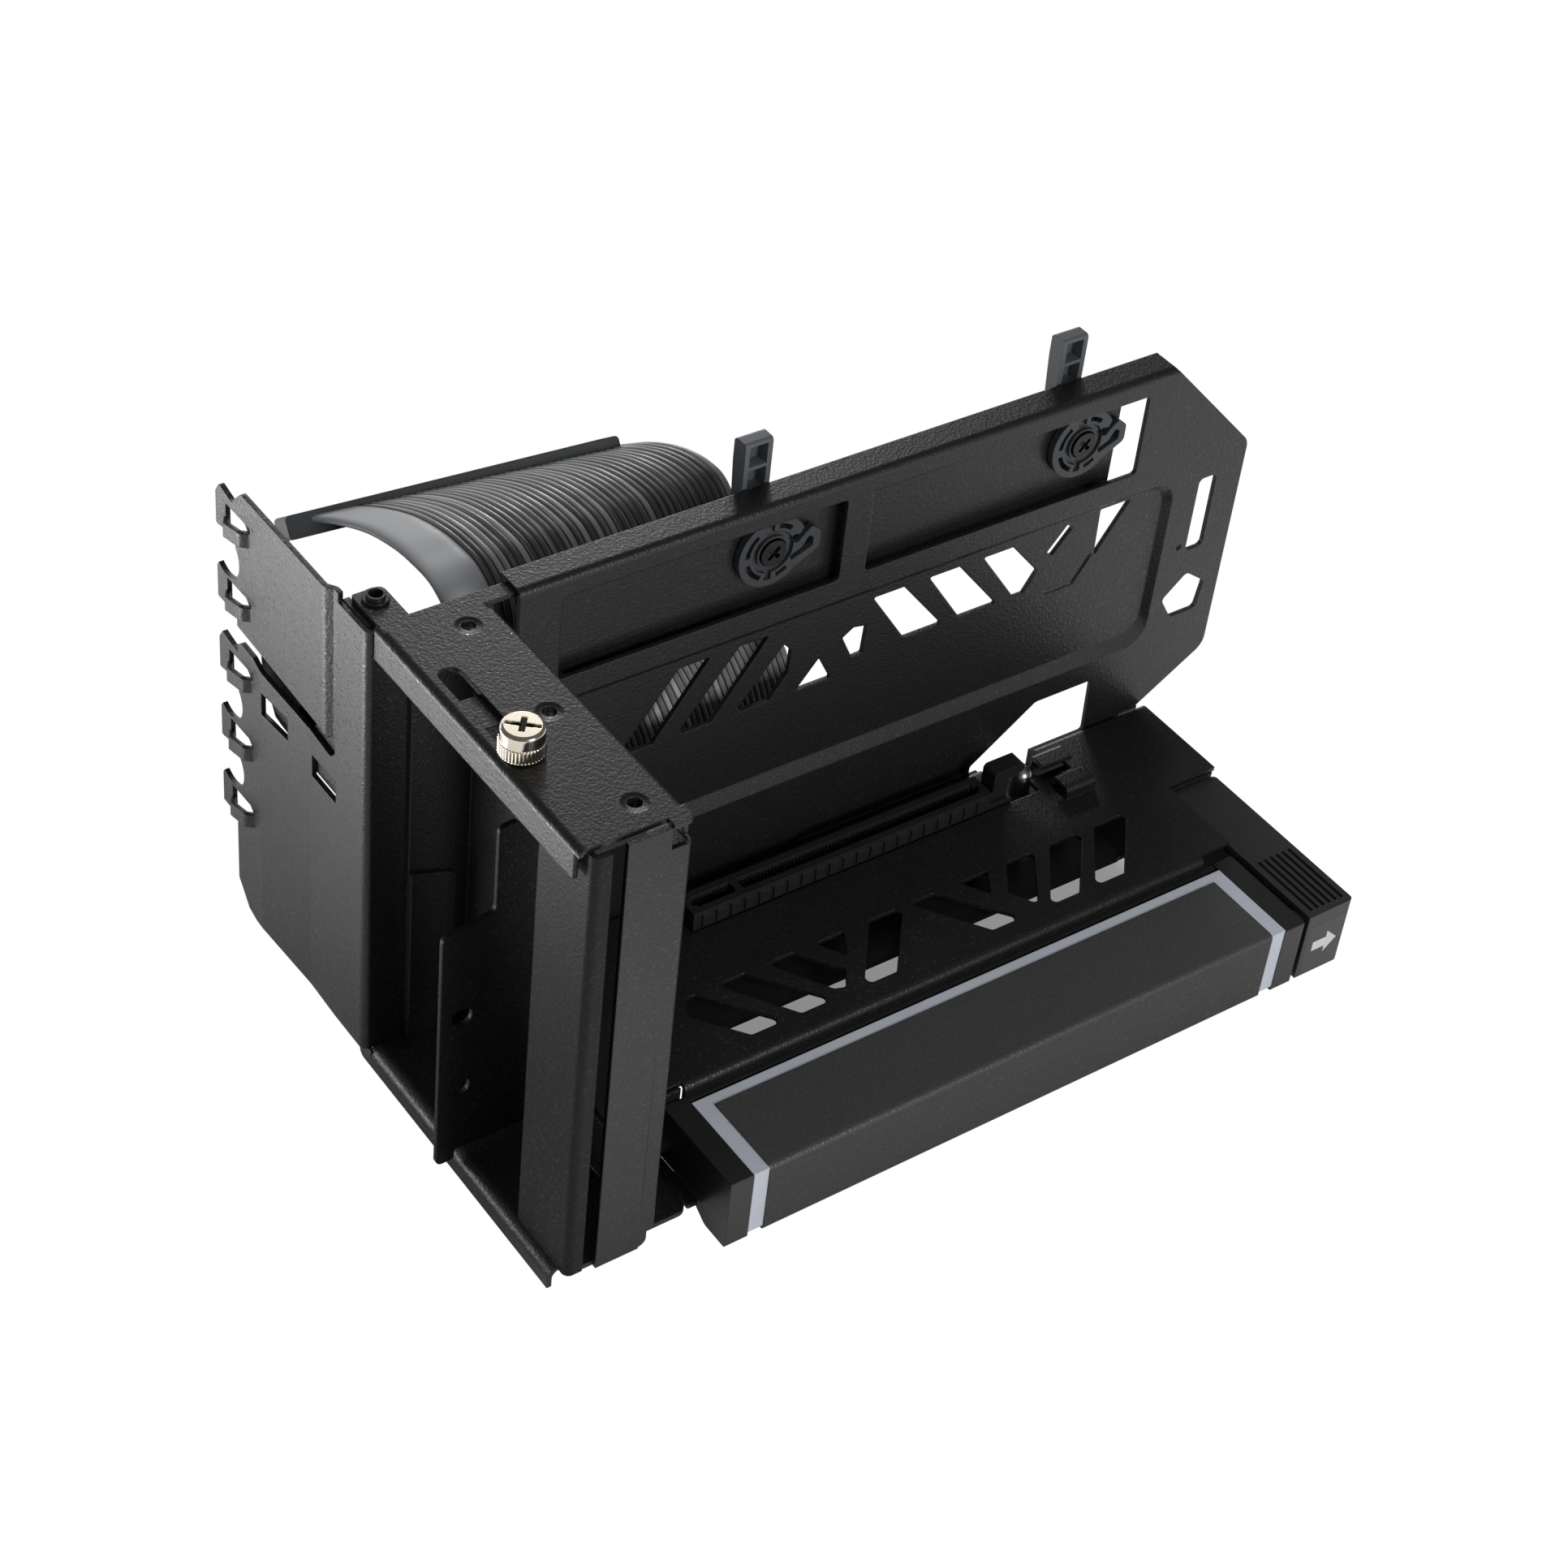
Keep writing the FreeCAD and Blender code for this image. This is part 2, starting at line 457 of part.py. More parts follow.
def clip_plate():
    x0 = WALL_X0 + 6.3
    x1 = WALL_X0 + 169.3
    plate = prism("xz", [(x0, TOP - 31.0), (x1, TOP - 31.0), (x1, TOP - 2.0), (x0, TOP - 2.0)], CLIP_Y,
                  SHEET, 2.0)
    holes = [rod(NECK_R + GAP, V(x, CLIP_Y - 1, CLIP_Z), V(x, CLIP_Y + 3, CLIP_Z)) for x in CLIP_X]
    return plate.cut(Part.makeCompound(holes))


def plate_spacers():
    spots = ((12.3, -29.2), (89.7, -29.2), (165.3, -29.2), (89.7, -8.0))
    return Part.makeCompound([rod(2.2, V(WALL_X0 + x, WALL_Y + SHEET, TOP + z),
                                  V(WALL_X0 + x, CLIP_Y, TOP + z)) for x, z in spots])


LEVER_Y = CLIP_Y - GAP - LEVER_T


# Arc-shaped slot between two radii, angles in degrees from +X
def arc_slot(centre, inner, outer, start, end, depth):
    ring = tube(outer, inner, centre - V(0, 1, 0), centre + V(0, depth, 0))
    reach = outer * 2
    spots = [math.radians(start + (end - start) * n / 4) for n in range(5)]
    fan = [(centre.x, centre.z)] + [(centre.x + reach * math.cos(a), centre.z + reach * math.sin(a))
                                    for a in spots]
    return ring.common(prism("xz", fan, centre.y - 2, depth + 3))


def swivel_lever(x):
    centre = V(x, LEVER_Y, CLIP_Z)

    def about(points):
        return [(x + dx, CLIP_Z + dz) for dx, dz in points]

    disc = rod(LEVER_R, centre, centre + V(0, LEVER_T, 0))
    arm = about([(0, 3.0), (0, 0.4 - LEVER_R), (7.0, -6.2), (13.1, -2.9), (13.1, 1.6), (10.6, 3.6)])
    arm = prism("xz", arm, LEVER_Y, LEVER_T, [0, 0, 3.0, 1.6, 1.6, 0.8])
    neck = rod(NECK_R, centre + V(0, LEVER_T, 0), centre + V(0, LEVER_T + GAP + SHEET + GAP, 0))
    notch = about([(5.1, 3.0), (5.1, 0.9), (6.9, 0.3), (8.4, 1.9), (10.4, 3.5), (12.0, 8.0), (9.2, 6.0),
                   (7.3, 2.6)])
    slot = about([(4.9, -2.8), (5.5, -4.3), (11.2, -2.0), (11.2, 0.4), (9.9, 1.2), (8.1, -1.5)])
    cuts = [prism("xz", notch, LEVER_Y - 1, LEVER_T + 2, [0.6, 0.6, 0.4, 0, 0.4, 0, 0, 0.3]),
            prism("xz", slot, LEVER_Y - 1, LEVER_T + 2, [0.6, 0.5, 0.6, 0.6, 0.5, 0.4])]
    for start, end in ((128, 177), (47, 80), (194, 245), (282, 307)):
        cuts.append(arc_slot(centre, RING_R + 0.7, RING_R + 1.9, start, end, LEVER_T + 1))
    for start, end in ((91, 113), (255, 271)):
        cuts.append(arc_slot(centre, HEAD_SEAT, RING_R + 1.9, start, end, RECESS))
    cuts.append(tube(RING_R, HEAD_SEAT, centre - V(0, 1, 0), centre + V(0, RECESS, 0)))
    cuts.append(rod(1.7, centre - V(0, 1, 0), centre + V(0, 8, 0)))
    cuts.append(rod(SCREW_HEAD + GAP, centre - V(0, 1, 0), centre + V(0, RECESS, 0)))
    return join(disc, arm, neck).cut(Part.makeCompound(cuts))


PEG_Y = LEVER_Y + LEVER_T + GAP + SHEET + GAP


def swivel_peg(x):
    mid = x + PEG_OFF
    front = WALL_Y + RIM_D + 0.6
    back = PEG_Y + PEG_D
    side = [(PEG_Y, CLIP_Z - 8), (PEG_Y + 6.0, CLIP_Z - 8), (back, PEG_TOP - 6), (back, PEG_TOP),
            (front, PEG_TOP), (front, TOP - 4.0), (PEG_Y, TOP - 7.0)]
    body = prism("yz", side, mid - PEG_W / 2, PEG_W, [0, 1.0, 1.0, 1.2, 0.9, 0.5, 0.5])
    cores = [rod(1.7, V(x, PEG_Y - 1, CLIP_Z), V(x, PEG_Y + 4.6, CLIP_Z))]
    for z0, z1 in ((TOP + 0.2, TOP + 5.5), (TOP + 6.4, TOP + 11.8)):
        cores.append(box(mid - 2.4, mid + 2.4, front - 1, back - 1.0, z0, z1))
    return body.cut(Part.makeCompound(cores))


def clip_screw(x):
    face = V(x, LEVER_Y - 0.6, CLIP_Z)
    seat = V(x, LEVER_Y + RECESS, CLIP_Z)
    screw = join(rod(SCREW_HEAD, face, seat), rod(1.6, seat, V(x, PEG_Y + 4.2, CLIP_Z)))
    for angle in (45, 135):
        blade = box(x - 0.5, x + 0.5, LEVER_Y - 2, LEVER_Y + 0.5, CLIP_Z - 2.0, CLIP_Z + 2.0)
        blade.rotate(face, V(0, 1, 0), angle)
        screw = screw.cut(blade)
    return screw


SOCKET_X0 = KEY_X - PIN_FIRST - SOCKET_END
SOCKET_X1 = KEY_X + PIN_LAST + SOCKET_END
BOARD_TOP = SOCKET_TOP - SOCKET_H
BASE_LOW = BASE_TOP - SHEET


def base_plate():
    line = [(WALL_Y, WALL_FOOT), (WALL_Y, BASE_TOP), (BASE_Y0, BASE_TOP), (BASE_Y0, BASE_TOP - 5.0)]
    plate = bent("yz", line, 1, FRAME_W, BASE_X1 - FRAME_W)
    side = box(FRAME_W, FRAME_W + SHEET, SILL_Y[0] - 6, SILL_Y[1] + 8, FLOOR, BASE_TOP - SHEET / 2)
    plate = join(plate, side)
    low = BASE_LOW - 1
    high = BASE_TOP + 1
    cuts = [box(NOTCH_X, BASE_X1 + 1, 10, NOTCH_Y, 0, TOP),
            box(WALL_X0 + 185.3, BASE_X1 + 1, WALL_Y - BEND, WALL_Y + 1, 0, BASE_LOW),
            box(SOCKET_X0 - 0.6, LATCH_X + 11.8, SOCKET_Y - 4.4, SOCKET_Y + 4.4, low, high),
            box(FRAME_W - 1, BAR_X[0] + BLOCK_W - 0.2, BASE_Y0 - 1, BASE_Y0 + BEND, 0, high),
            box(BAR_X[1] - 9.4, NOTCH_X + 1, BASE_Y0 - 1, BASE_Y0 + BEND, 0, high)]
    for vent in BASE_VENTS:
        cuts.append(prism("xy", [(FRAME_W + x, y) for x, y in vent], low, 4, 0.6 if len(vent) == 3 else 1.2))
    for x in WALL_RIVET_X:
        cuts.append(rod(1.5, V(x, WALL_Y - 5, WALL_FOOT + 5), V(x, WALL_Y + 5, WALL_FOOT + 5)))
    for y in SILL_Y:
        cuts.append(rod(1.4, V(FRAME_W - 1, y, SILL_Z), V(FRAME_W + 3, y, SILL_Z)))
    cuts.append(box(BAY_X[0], BAY_X[1], SOCKET_Y, WALL_Y + 1, BAY_Z, high))
    lip_x = LATCH_X + 15.2
    for y in (SOCKET_Y - 1.7, SOCKET_Y - 9.5):
        cuts.append(box(lip_x, lip_x + 9.2, y, y + 5.2, low, high))
    plate = plate.cut(Part.makeCompound(cuts))
    lips = []
    for y, way in ((SOCKET_Y + 4.7, -1), (SOCKET_Y - 10.7, 1)):
        rise = [(y, BASE_TOP - 0.6), (y, BASE_TOP + 3.6), (y + way * 5.4, BASE_TOP + 3.6)]
        lips.append(bent("yz", rise, -way, lip_x, 9.2, 1.6))
    return join(plate, *lips)


def riser_socket():
    y0 = SOCKET_Y - SOCKET_W / 2
    y1 = SOCKET_Y + SOCKET_W / 2
    body = box(SOCKET_X0, SOCKET_X1, y0, y1, BOARD_TOP, SOCKET_TOP)
    ear_end = LATCH_X + 2.8
    ears = [box(SOCKET_X1 - 0.5, ear_end, y, y + 1.1, BOARD_TOP, TOP - 105.0) for y in (y0, y1 - 1.1)]
    ribs = [box(x, x + 2.9, y0 - 0.45, y0 + 0.1, BASE_TOP + 0.3, SOCKET_TOP - 1.0)
            for x in [SOCKET_X0 + 2.4 + 4.1 * n for n in range(21)]]
    body = join(body, *ears, *ribs)
    low = SOCKET_TOP - 8.0
    high = SOCKET_TOP + 1
    cuts = [box(SOCKET_X0 + 1.6, KEY_X - 0.9, SOCKET_Y - 0.95, SOCKET_Y + 0.95, low, high),
            box(KEY_X + 0.9, SOCKET_X1 - 1.6, SOCKET_Y - 0.95, SOCKET_Y + 0.95, low, high),
            rod(PIVOT_R + 0.05, V(LATCH_X, y0 - 1, LATCH_Z), V(LATCH_X, y1 + 1, LATCH_Z))]
    for side in (-1, 1):
        near = SOCKET_Y + side * 0.95
        far = SOCKET_Y + side * 1.75
        for x0, x1 in ((KEY_X - PIN_FIRST - 0.4, KEY_X - 1.1), (KEY_X + 1.1, KEY_X + PIN_LAST + 0.4)):
            cuts.append(box(x0, x1, min(near, far), max(near, far), SOCKET_TOP - 7.0, SOCKET_TOP + 1))
    return body.cut(Part.makeCompound(cuts))


def socket_contacts():
    bars = []
    for side in (-1, 1):
        near = SOCKET_Y + side * 1.1
        far = SOCKET_Y + side * 1.7
        for x0, x1 in ((KEY_X - PIN_FIRST - 0.3, KEY_X - 1.2), (KEY_X + 1.2, KEY_X + PIN_LAST + 0.3)):
            bars.append(box(x0, x1, min(near, far), max(near, far), SOCKET_TOP - 7.0, SOCKET_TOP - 0.5))
    return Part.makeCompound(bars)


def socket_latch():
    y0 = SOCKET_Y - 2.4
    y1 = SOCKET_Y + 2.4
    side = [(LATCH_X - 2.4, LATCH_Z - 2.4), (LATCH_X + 2.4, LATCH_Z - 2.4), (LATCH_X + 2.4, TOP - 99.6),
            (LATCH_X + 7.0, TOP - 98.6), (LATCH_X + 7.0, TOP - 96.4), (LATCH_X - 2.4, TOP - 96.4)]
    body = prism("xz", side, y0, y1 - y0, [2.3, 2.3, 0.8, 0.9, 0.9, 1.2])
    pin = rod(PIVOT_R, V(LATCH_X, SOCKET_Y - SOCKET_W / 2 + 0.1, LATCH_Z),
              V(LATCH_X, SOCKET_Y + SOCKET_W / 2 - 0.1, LATCH_Z))
    return join(body, pin)


def riser_board():
    board = prism("xy", [(BOARD_X[0], BOARD_Y[0]), (BOARD_X[1], BOARD_Y[0]), (BOARD_X[1], BOARD_Y[1]),
                         (BOARD_X[0], BOARD_Y[1])], BOARD_TOP - BOARD_T, BOARD_T, 1.5)
    holes = [rod(1.7, V(x, y, BOARD_TOP - 4), V(x, y, BOARD_TOP + 1)) for x, y in SCREW_AT]
    return board.cut(Part.makeCompound(holes))


def standoffs():
    posts = [tube(2.8, 1.7, V(x, y, BOARD_TOP), V(x, y, BASE_LOW)) for x, y in SCREW_AT]
    x, y = SCREW_AT[0]
    dome = Part.makeSphere(2.8, V(x, y, BASE_TOP - 1.4), V(0, 0, 1), 0, 90)
    posts[0] = join(posts[0], rod(2.8, V(x, y, BASE_LOW), V(x, y, BASE_TOP - 1.4)), dome)
    return Part.makeCompound(posts)


def board_screws():
    screws = []
    under = BOARD_TOP - BOARD_T
    for x, y in SCREW_AT:
        head = join(rod(2.7, V(x, y, under - 1.6), V(x, y, under)),
                    rod(1.5, V(x, y, under), V(x, y, BASE_LOW - 1.0)))
        for angle in (45, 135):
            blade = box(x - 0.4, x + 0.4, y - 1.7, y + 1.7, under - 3, under - 0.7)
            blade.rotate(V(x, y, 0), V(0, 0, 1), angle)
            head = head.cut(blade)
        screws.append(head)
    return Part.makeCompound(screws)


RISE_SHIFT = LEAN * (RISE_TOP - RISE_LOW)
RIBBON_X0 = MARGIN_X0 + MARGIN_W


def cable_bar():
    x0 = MARGIN_X0 + RISE_SHIFT
    x1 = RIBBON_X0 + RISE_SHIFT + RIBBON_W
    return box(x0 - 3, x1 + 3, CABLE_Y - CABLE_D, CABLE_Y, RIBBON_LOW - 1.4, BOARD_TOP - BOARD_T)


# Plug space: x along the plug, y into it, z up from its top front edge
def on_plug(shape):
    span = PLUG_RIGHT - PLUG_LEFT
    placed = shape.copy()
    placed.rotate(V(0, 0, 0), V(1, 0, 0), -PLUG_TILT)
    placed.rotate(V(0, 0, 0), V(0, 1, 0), -math.degrees(math.asin(span.z / span.Length)))
    placed.rotate(V(0, 0, 0), V(0, 0, 1), math.degrees(math.atan2(span.y, span.x)))
    placed.translate(PLUG_LEFT)
    return placed


PLUG_L = (PLUG_RIGHT - PLUG_LEFT).Length


# Upright, tight turn and flat crown of the ribbon at one X
def turn_section(x):
    turn = V(x, RIBBON_Y + TURN_R, CROWN_Z - TURN_R)
    crown = V(x, RIBBON_Y + TURN_R, CROWN_Z - CROWN_R)

    def rim(inset):
        arc = [turn + V(0, -math.cos(math.radians(a)), math.sin(math.radians(a))) * (TURN_R - inset)
               for a in (0, 45, 90)]
        for a in (CROWN_SWEEP / 2, CROWN_SWEEP):
            lean = V(0, math.sin(math.radians(a)), math.cos(math.radians(a)))
            arc.append(crown + lean * (CROWN_R - inset))
        return arc

    out = rim(0)
    ins = rim(RIBBON_T)
    foot = V(x, RIBBON_Y, RISE_TOP)
    heel = V(x, RIBBON_Y + RIBBON_T, RISE_TOP)
    return Part.Wire([Part.makeLine(foot, out[0]), Part.Arc(*out[:3]).toShape(),
                      Part.Arc(*out[2:]).toShape(), Part.makeLine(out[4], ins[4]),
                      Part.Arc(ins[4], ins[3], ins[2]).toShape(), Part.Arc(ins[2], ins[1], ins[0]).toShape(),
                      Part.makeLine(ins[0], heel), Part.makeLine(heel, foot)])


def ribbon_band(x0, width):
    top = Part.Face(turn_section(x0)).extrude(V(width, 0, 0))
    low = x0 + RISE_SHIFT
    rise = prism("xz", [(x0, RISE_TOP), (x0 + width, RISE_TOP), (low + width, RISE_LOW), (low, RISE_LOW)],
                 RIBBON_Y, RIBBON_T)
    back = RIBBON_Y + RIBBON_T
    start = CABLE_Y - 2 * CABLE_D
    fold = [(start, RIBBON_LOW), (back, RIBBON_LOW), (back, RISE_LOW), (RIBBON_Y, RISE_LOW),
            (RIBBON_Y, RIBBON_LOW + RIBBON_T), (start, RIBBON_LOW + RIBBON_T)]
    run = prism("yz", fold, low, width, [0, FOLD_R + RIBBON_T, 0, 0, FOLD_R, 0])
    band = join(top, rise, run)
    band.rotate(V(MARGIN_X0, RIBBON_Y, 0), V(0, 0, 1), TWIST)
    beyond = on_plug(box(-40, PLUG_L + 40, 0, 60, -40, 40))
    edge = MARGIN_X0 + MARGIN_W + RIBBON_W
    taper = prism("xy", [(edge, RIBBON_Y + 12), (edge - 3.5, RIBBON_Y + 27), (PLUG_RIGHT.x, PLUG_RIGHT.y),
                         (PLUG_RIGHT.x, BAR_Y), (edge + 20, BAR_Y), (edge + 20, RIBBON_Y + 12)], RISE_TOP,
                  TOP)
    return band.cut(beyond).cut(taper).cut(box(0, WALL_X1, -50, CABLE_Y, 0, TOP))


def riser_ribbon():
    return ribbon_band(RIBBON_X0, RIBBON_W)


def ribbon_margin():
    return ribbon_band(MARGIN_X0, MARGIN_W)


def plug_housing():
    shell = prism("xz", [(0, -PLUG_T), (PLUG_L, -PLUG_T), (PLUG_L, 0), (0, 0)], 0, PLUG_D, 1.0)
    slot = box(PLUG_END, PLUG_L - PLUG_END, PLUG_D - 6.0, PLUG_D + 1, -PLUG_T / 2 - 0.8, -PLUG_T / 2 + 0.8)
    return on_plug(shell.cut(slot))


def plug_board():
    x0 = PLUG_END
    x1 = PLUG_L - PLUG_END
    y0 = PLUG_D - 6.0
    y1 = PLUG_D + TONGUE
    tongue = prism("xy", [(x0, y0), (x1, y0), (x1, y1), (x0, y1)], -PLUG_T / 2 - 0.8, 1.6, [0, 0, 1.0, 1.0])
    return on_plug(tongue.cut(box(x0 + 11.0, x0 + 12.9, PLUG_D + 1.0, y1 + 1, -PLUG_T, PLUG_T)))


def bar_housing():
    x0 = BAR_X[0] + BLOCK_W
    x1 = BAR_X[1] - BLOCK_W
    floor = box(x0, x1, BAR_Y0 + WALL_T, BASE_Y0, 0, 1.4)
    back = box(x0, x1, BASE_Y0 - 1.4, BASE_Y0, 0, BASE_LOW - 2.2)
    return join(floor, back)


def end_block(x0):
    side = [(BAR_Y0, 0), (-1.0, 0), (4.0, 3.4), (12.0, 5.2), (BASE_Y0, 5.2), (BASE_Y0, BAR_TOP),
            (BAR_Y0, BAR_TOP)]
    return prism("yz", side, x0, BLOCK_W, [0.6, 3.0, 6.0, 3.0, 0, 0, 0.6])


def light_diffuser():
    x0 = BAR_X[0] + BLOCK_W
    x1 = BAR_X[1] - BLOCK_W
    back = box(x0, x1, COVER_Y1, COVER_Y1 + GLOW_BACK, 13.0, BAR_TOP)
    left = box(x0, x0 + GLOW_W, BAR_Y0 + 0.2, COVER_Y1, 1.4, BAR_TOP)
    right = box(x1 - GLOW_W, x1, BAR_Y0 + 0.2, COVER_Y1, 1.4, BAR_TOP)
    return join(back, left, right)


def light_cover():
    x0 = BAR_X[0] + BLOCK_W + GLOW_W
    x1 = BAR_X[1] - BLOCK_W - GLOW_W
    section = [(COVER_Y1, BAR_TOP + 0.3), (COVER_Y1, BAR_TOP + 0.3 - WALL_T),
               (BAR_Y0 + WALL_T, BAR_TOP + 0.3 - WALL_T), (BAR_Y0 + WALL_T, 0.0), (BAR_Y0, 0.0),
               (BAR_Y0, BAR_TOP + 0.3)]
    return prism("yz", section, x0, x1 - x0, [0, 0, 0.4, 0.3, 0.8, 1.4])


def led_strip():
    return box(BAR_X[0] + 18, BAR_X[1] - 18, 3.0, 12.0, 1.4, 2.6)


LED_STEP = 12.0


def led_chips():
    count = int((BAR_X[1] - BAR_X[0] - 48) / LED_STEP) + 1
    return Part.makeCompound([box(BAR_X[0] + 22 + LED_STEP * n, BAR_X[0] + 27 + LED_STEP * n, 5.0, 10.0, 2.6,
                                  4.2) for n in range(count)])


def release_slider():
    x0, x1 = SLIDER_X
    shell = prism("xy", [(x0, BAR_Y0), (x1, BAR_Y0), (x1, SLIDER_Y1), (x0, SLIDER_Y1)], SLIDER_LOW,
                  SLIDER_TOP - SLIDER_LOW, [0, 1.2, 1.2, 0])
    hollow = box(x0 - 1, x1 - SLIDER_WALL, BAR_Y0 + SLIDER_WALL, SLIDER_Y1 - SLIDER_WALL, -1,
                 SLIDER_TOP - SLIDER_WALL)
    shelf = box(x0 + 5.0, x1 - SLIDER_WALL + 0.2, 6.0, 34.0, 5.8, 8.0 - GAP)
    pitch = (x1 - x0 - 2.4) / 6
    grips = [box(x0 + 1.8 + pitch * n, x0 + 2.7 + pitch * n, BAR_Y0 + 1.8, BAR_Y0 + 22.0, SLIDER_TOP - 0.7,
                 SLIDER_TOP + 1) for n in range(6)]
    return join(shell.cut(hollow), shelf).cut(Part.makeCompound(grips))


def slider_guide():
    root = box(BAR_X[1], BAR_X[1] + 1.2, 0.0, BASE_Y0, 6.0, SLIDER_TOP - SLIDER_WALL - GAP)
    tongue = box(BAR_X[1], SLIDER_X[0] + 3.8, 2.0, SLIDER_Y1 - 4.5, 8.0, SLIDER_TOP - SLIDER_WALL - GAP)
    return join(root, tongue)


def ear_bush():
    base = V(EAR_X, EAR_Y, TOP)
    step = base + V(0, 0, 0.7)
    return join(tube(3.0, THREAD_R, base, step), tube(2.1, THREAD_R, step, step + V(0, 0, 0.8)))


def thread_collars():
    rings = []
    for n in range(3):
        base = V(HOLE_X, HOLE_Y + n * HOLE_PITCH, TOP - SHEET)
        rings.append(tube(2.6, THREAD_R, base - V(0, 0, 2.4), base))
    return Part.makeCompound(rings)


def wall_rivets():
    foot = WALL_FOOT + 5
    row = [rivet(2.2, 1.4, V(x, WALL_Y - SHEET, foot), V(x, WALL_Y + SHEET, foot), 0.7)
           for x in WALL_RIVET_X]
    return Part.makeCompound(row)


def sill_rivets():
    row = [rivet(2.2, 1.4, V(FRAME_W - SHEET, y, SILL_Z), V(FRAME_W + SHEET, y, SILL_Z), 0.7)
           for y in SILL_Y]
    return Part.makeCompound(row)


nodes = {
    "slot_bracket": slot_bracket(),
    "end_frame": end_frame(),
    "rear_gusset": rear_gusset(),
    "front_cheek": front_cheek(),
    "front_rail": front_rail(),
    "card_clamp": card_clamp(),
    "thumb_screw": thumb_screw(),
    "clamp_nut": clamp_nut(),
    "back_wall": back_wall(),
    "clip_plate": clip_plate(),
    "plate_spacers": plate_spacers(),
    "lever_left": swivel_lever(CLIP_X[0]),
    "peg_left": swivel_peg(CLIP_X[0]),
    "clip_screw_left": clip_screw(CLIP_X[0]),
    "lever_right": swivel_lever(CLIP_X[1]),
    "peg_right": swivel_peg(CLIP_X[1]),
    "clip_screw_right": clip_screw(CLIP_X[1]),
    "base_plate": base_plate(),
    "riser_socket": riser_socket(),
    "socket_contacts": socket_contacts(),
    "socket_latch": socket_latch(),
    "riser_board": riser_board(),
    "standoffs": standoffs(),
    "board_screws": board_screws(),
    "cable_bar": cable_bar(),
    "riser_ribbon": riser_ribbon(),
    "ribbon_margin": ribbon_margin(),
    "plug_housing": plug_housing(),
    "plug_board": plug_board(),
    "bar_housing": bar_housing(),
    "end_block_left": end_block(BAR_X[0]),
    "end_block_right": end_block(BAR_X[1] - BLOCK_W),
    "light_diffuser": light_diffuser(),
    "light_cover": light_cover(),
    "led_strip": led_strip(),
    "led_chips": led_chips(),
    "release_slider": release_slider(),
    "slider_guide": slider_guide(),
    "ear_bush": ear_bush(),
    "thread_collars": thread_collars(),
    "wall_rivets": wall_rivets(),
    "sill_rivets": sill_rivets(),
}

os.makedirs("parts", exist_ok=True)
for name, shape in nodes.items():
    placed = shape.copy()
    placed.translate(ORIGIN.negative())
    placed.exportStep("parts/" + name + ".step")
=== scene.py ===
import bpy
import json
import math
import numpy as np
from mathutils import Matrix, Vector


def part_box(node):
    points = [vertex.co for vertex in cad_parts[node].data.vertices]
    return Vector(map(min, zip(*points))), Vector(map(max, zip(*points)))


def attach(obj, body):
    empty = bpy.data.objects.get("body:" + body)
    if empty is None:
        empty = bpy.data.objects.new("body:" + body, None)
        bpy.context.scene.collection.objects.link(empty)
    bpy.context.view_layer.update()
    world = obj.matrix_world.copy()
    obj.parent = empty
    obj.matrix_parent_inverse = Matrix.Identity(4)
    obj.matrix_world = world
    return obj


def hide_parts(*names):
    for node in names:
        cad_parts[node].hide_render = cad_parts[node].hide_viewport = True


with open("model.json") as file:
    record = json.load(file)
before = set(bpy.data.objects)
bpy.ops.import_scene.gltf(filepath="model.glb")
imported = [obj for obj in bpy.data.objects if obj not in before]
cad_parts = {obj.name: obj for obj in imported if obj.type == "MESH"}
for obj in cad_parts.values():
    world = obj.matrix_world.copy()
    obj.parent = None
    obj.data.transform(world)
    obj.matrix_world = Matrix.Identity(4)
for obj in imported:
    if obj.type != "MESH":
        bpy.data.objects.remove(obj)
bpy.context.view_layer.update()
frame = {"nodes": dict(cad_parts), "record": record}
nodes = frame["nodes"]
slots = {part["node"]: part["material_slot"] for part in frame["record"]["subparts"]}
print("frame loaded:", len(nodes), "nodes")

# drawing millimetres: x and z from the end frame's outer corner, y from the top plate's front edge
postDepth = 0.0025  # metres that the post stands in front of that edge
frameCorner = np.array(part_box("end_frame")[0]) + np.array((0.0, postDepth, 0.0))
topLevel = 129.4  # the top plate's upper face


def place(points):
    # drawing millimetres to metres in the row frame: a thousandth, moved to the frame's corner
    return np.asarray(points, float) * 0.001 + frameCorner


camera = {"azimuth": -39.53, "elevation": 40.66, "roll": -6.915, "lens": 74.05, "sensor": 36.0, "near": 0.01,
          "eye": (-0.260578, -0.510797, 0.459632)}


def photoCamera(azimuth, elevation, roll, lens, sensor, near, eye):
    # forward from azimuth and elevation, then turned about itself by the roll
    az, el, ro = (math.radians(v) for v in (azimuth, elevation, roll))
    forward = Vector((-math.sin(az) * math.cos(el), math.cos(az) * math.cos(el), -math.sin(el)))
    side = forward.cross(Vector((0, 0, 1))).normalized()
    up = side.cross(forward)
    right = side * math.cos(ro) - up * math.sin(ro)
    top = up * math.cos(ro) + side * math.sin(ro)
    data = bpy.data.cameras.new("camera")
    data.lens = lens
    data.sensor_width = sensor
    data.clip_start = near
    made = bpy.data.objects.new("camera", data)
    bpy.context.scene.collection.objects.link(made)
    made.matrix_world = Matrix.Translation(eye) @ Matrix((right, top, -forward)).transposed().to_4x4()
    bpy.context.scene.camera = made


photoCamera(**camera)
bpy.context.scene.view_settings.view_transform = "Standard"
print("camera")


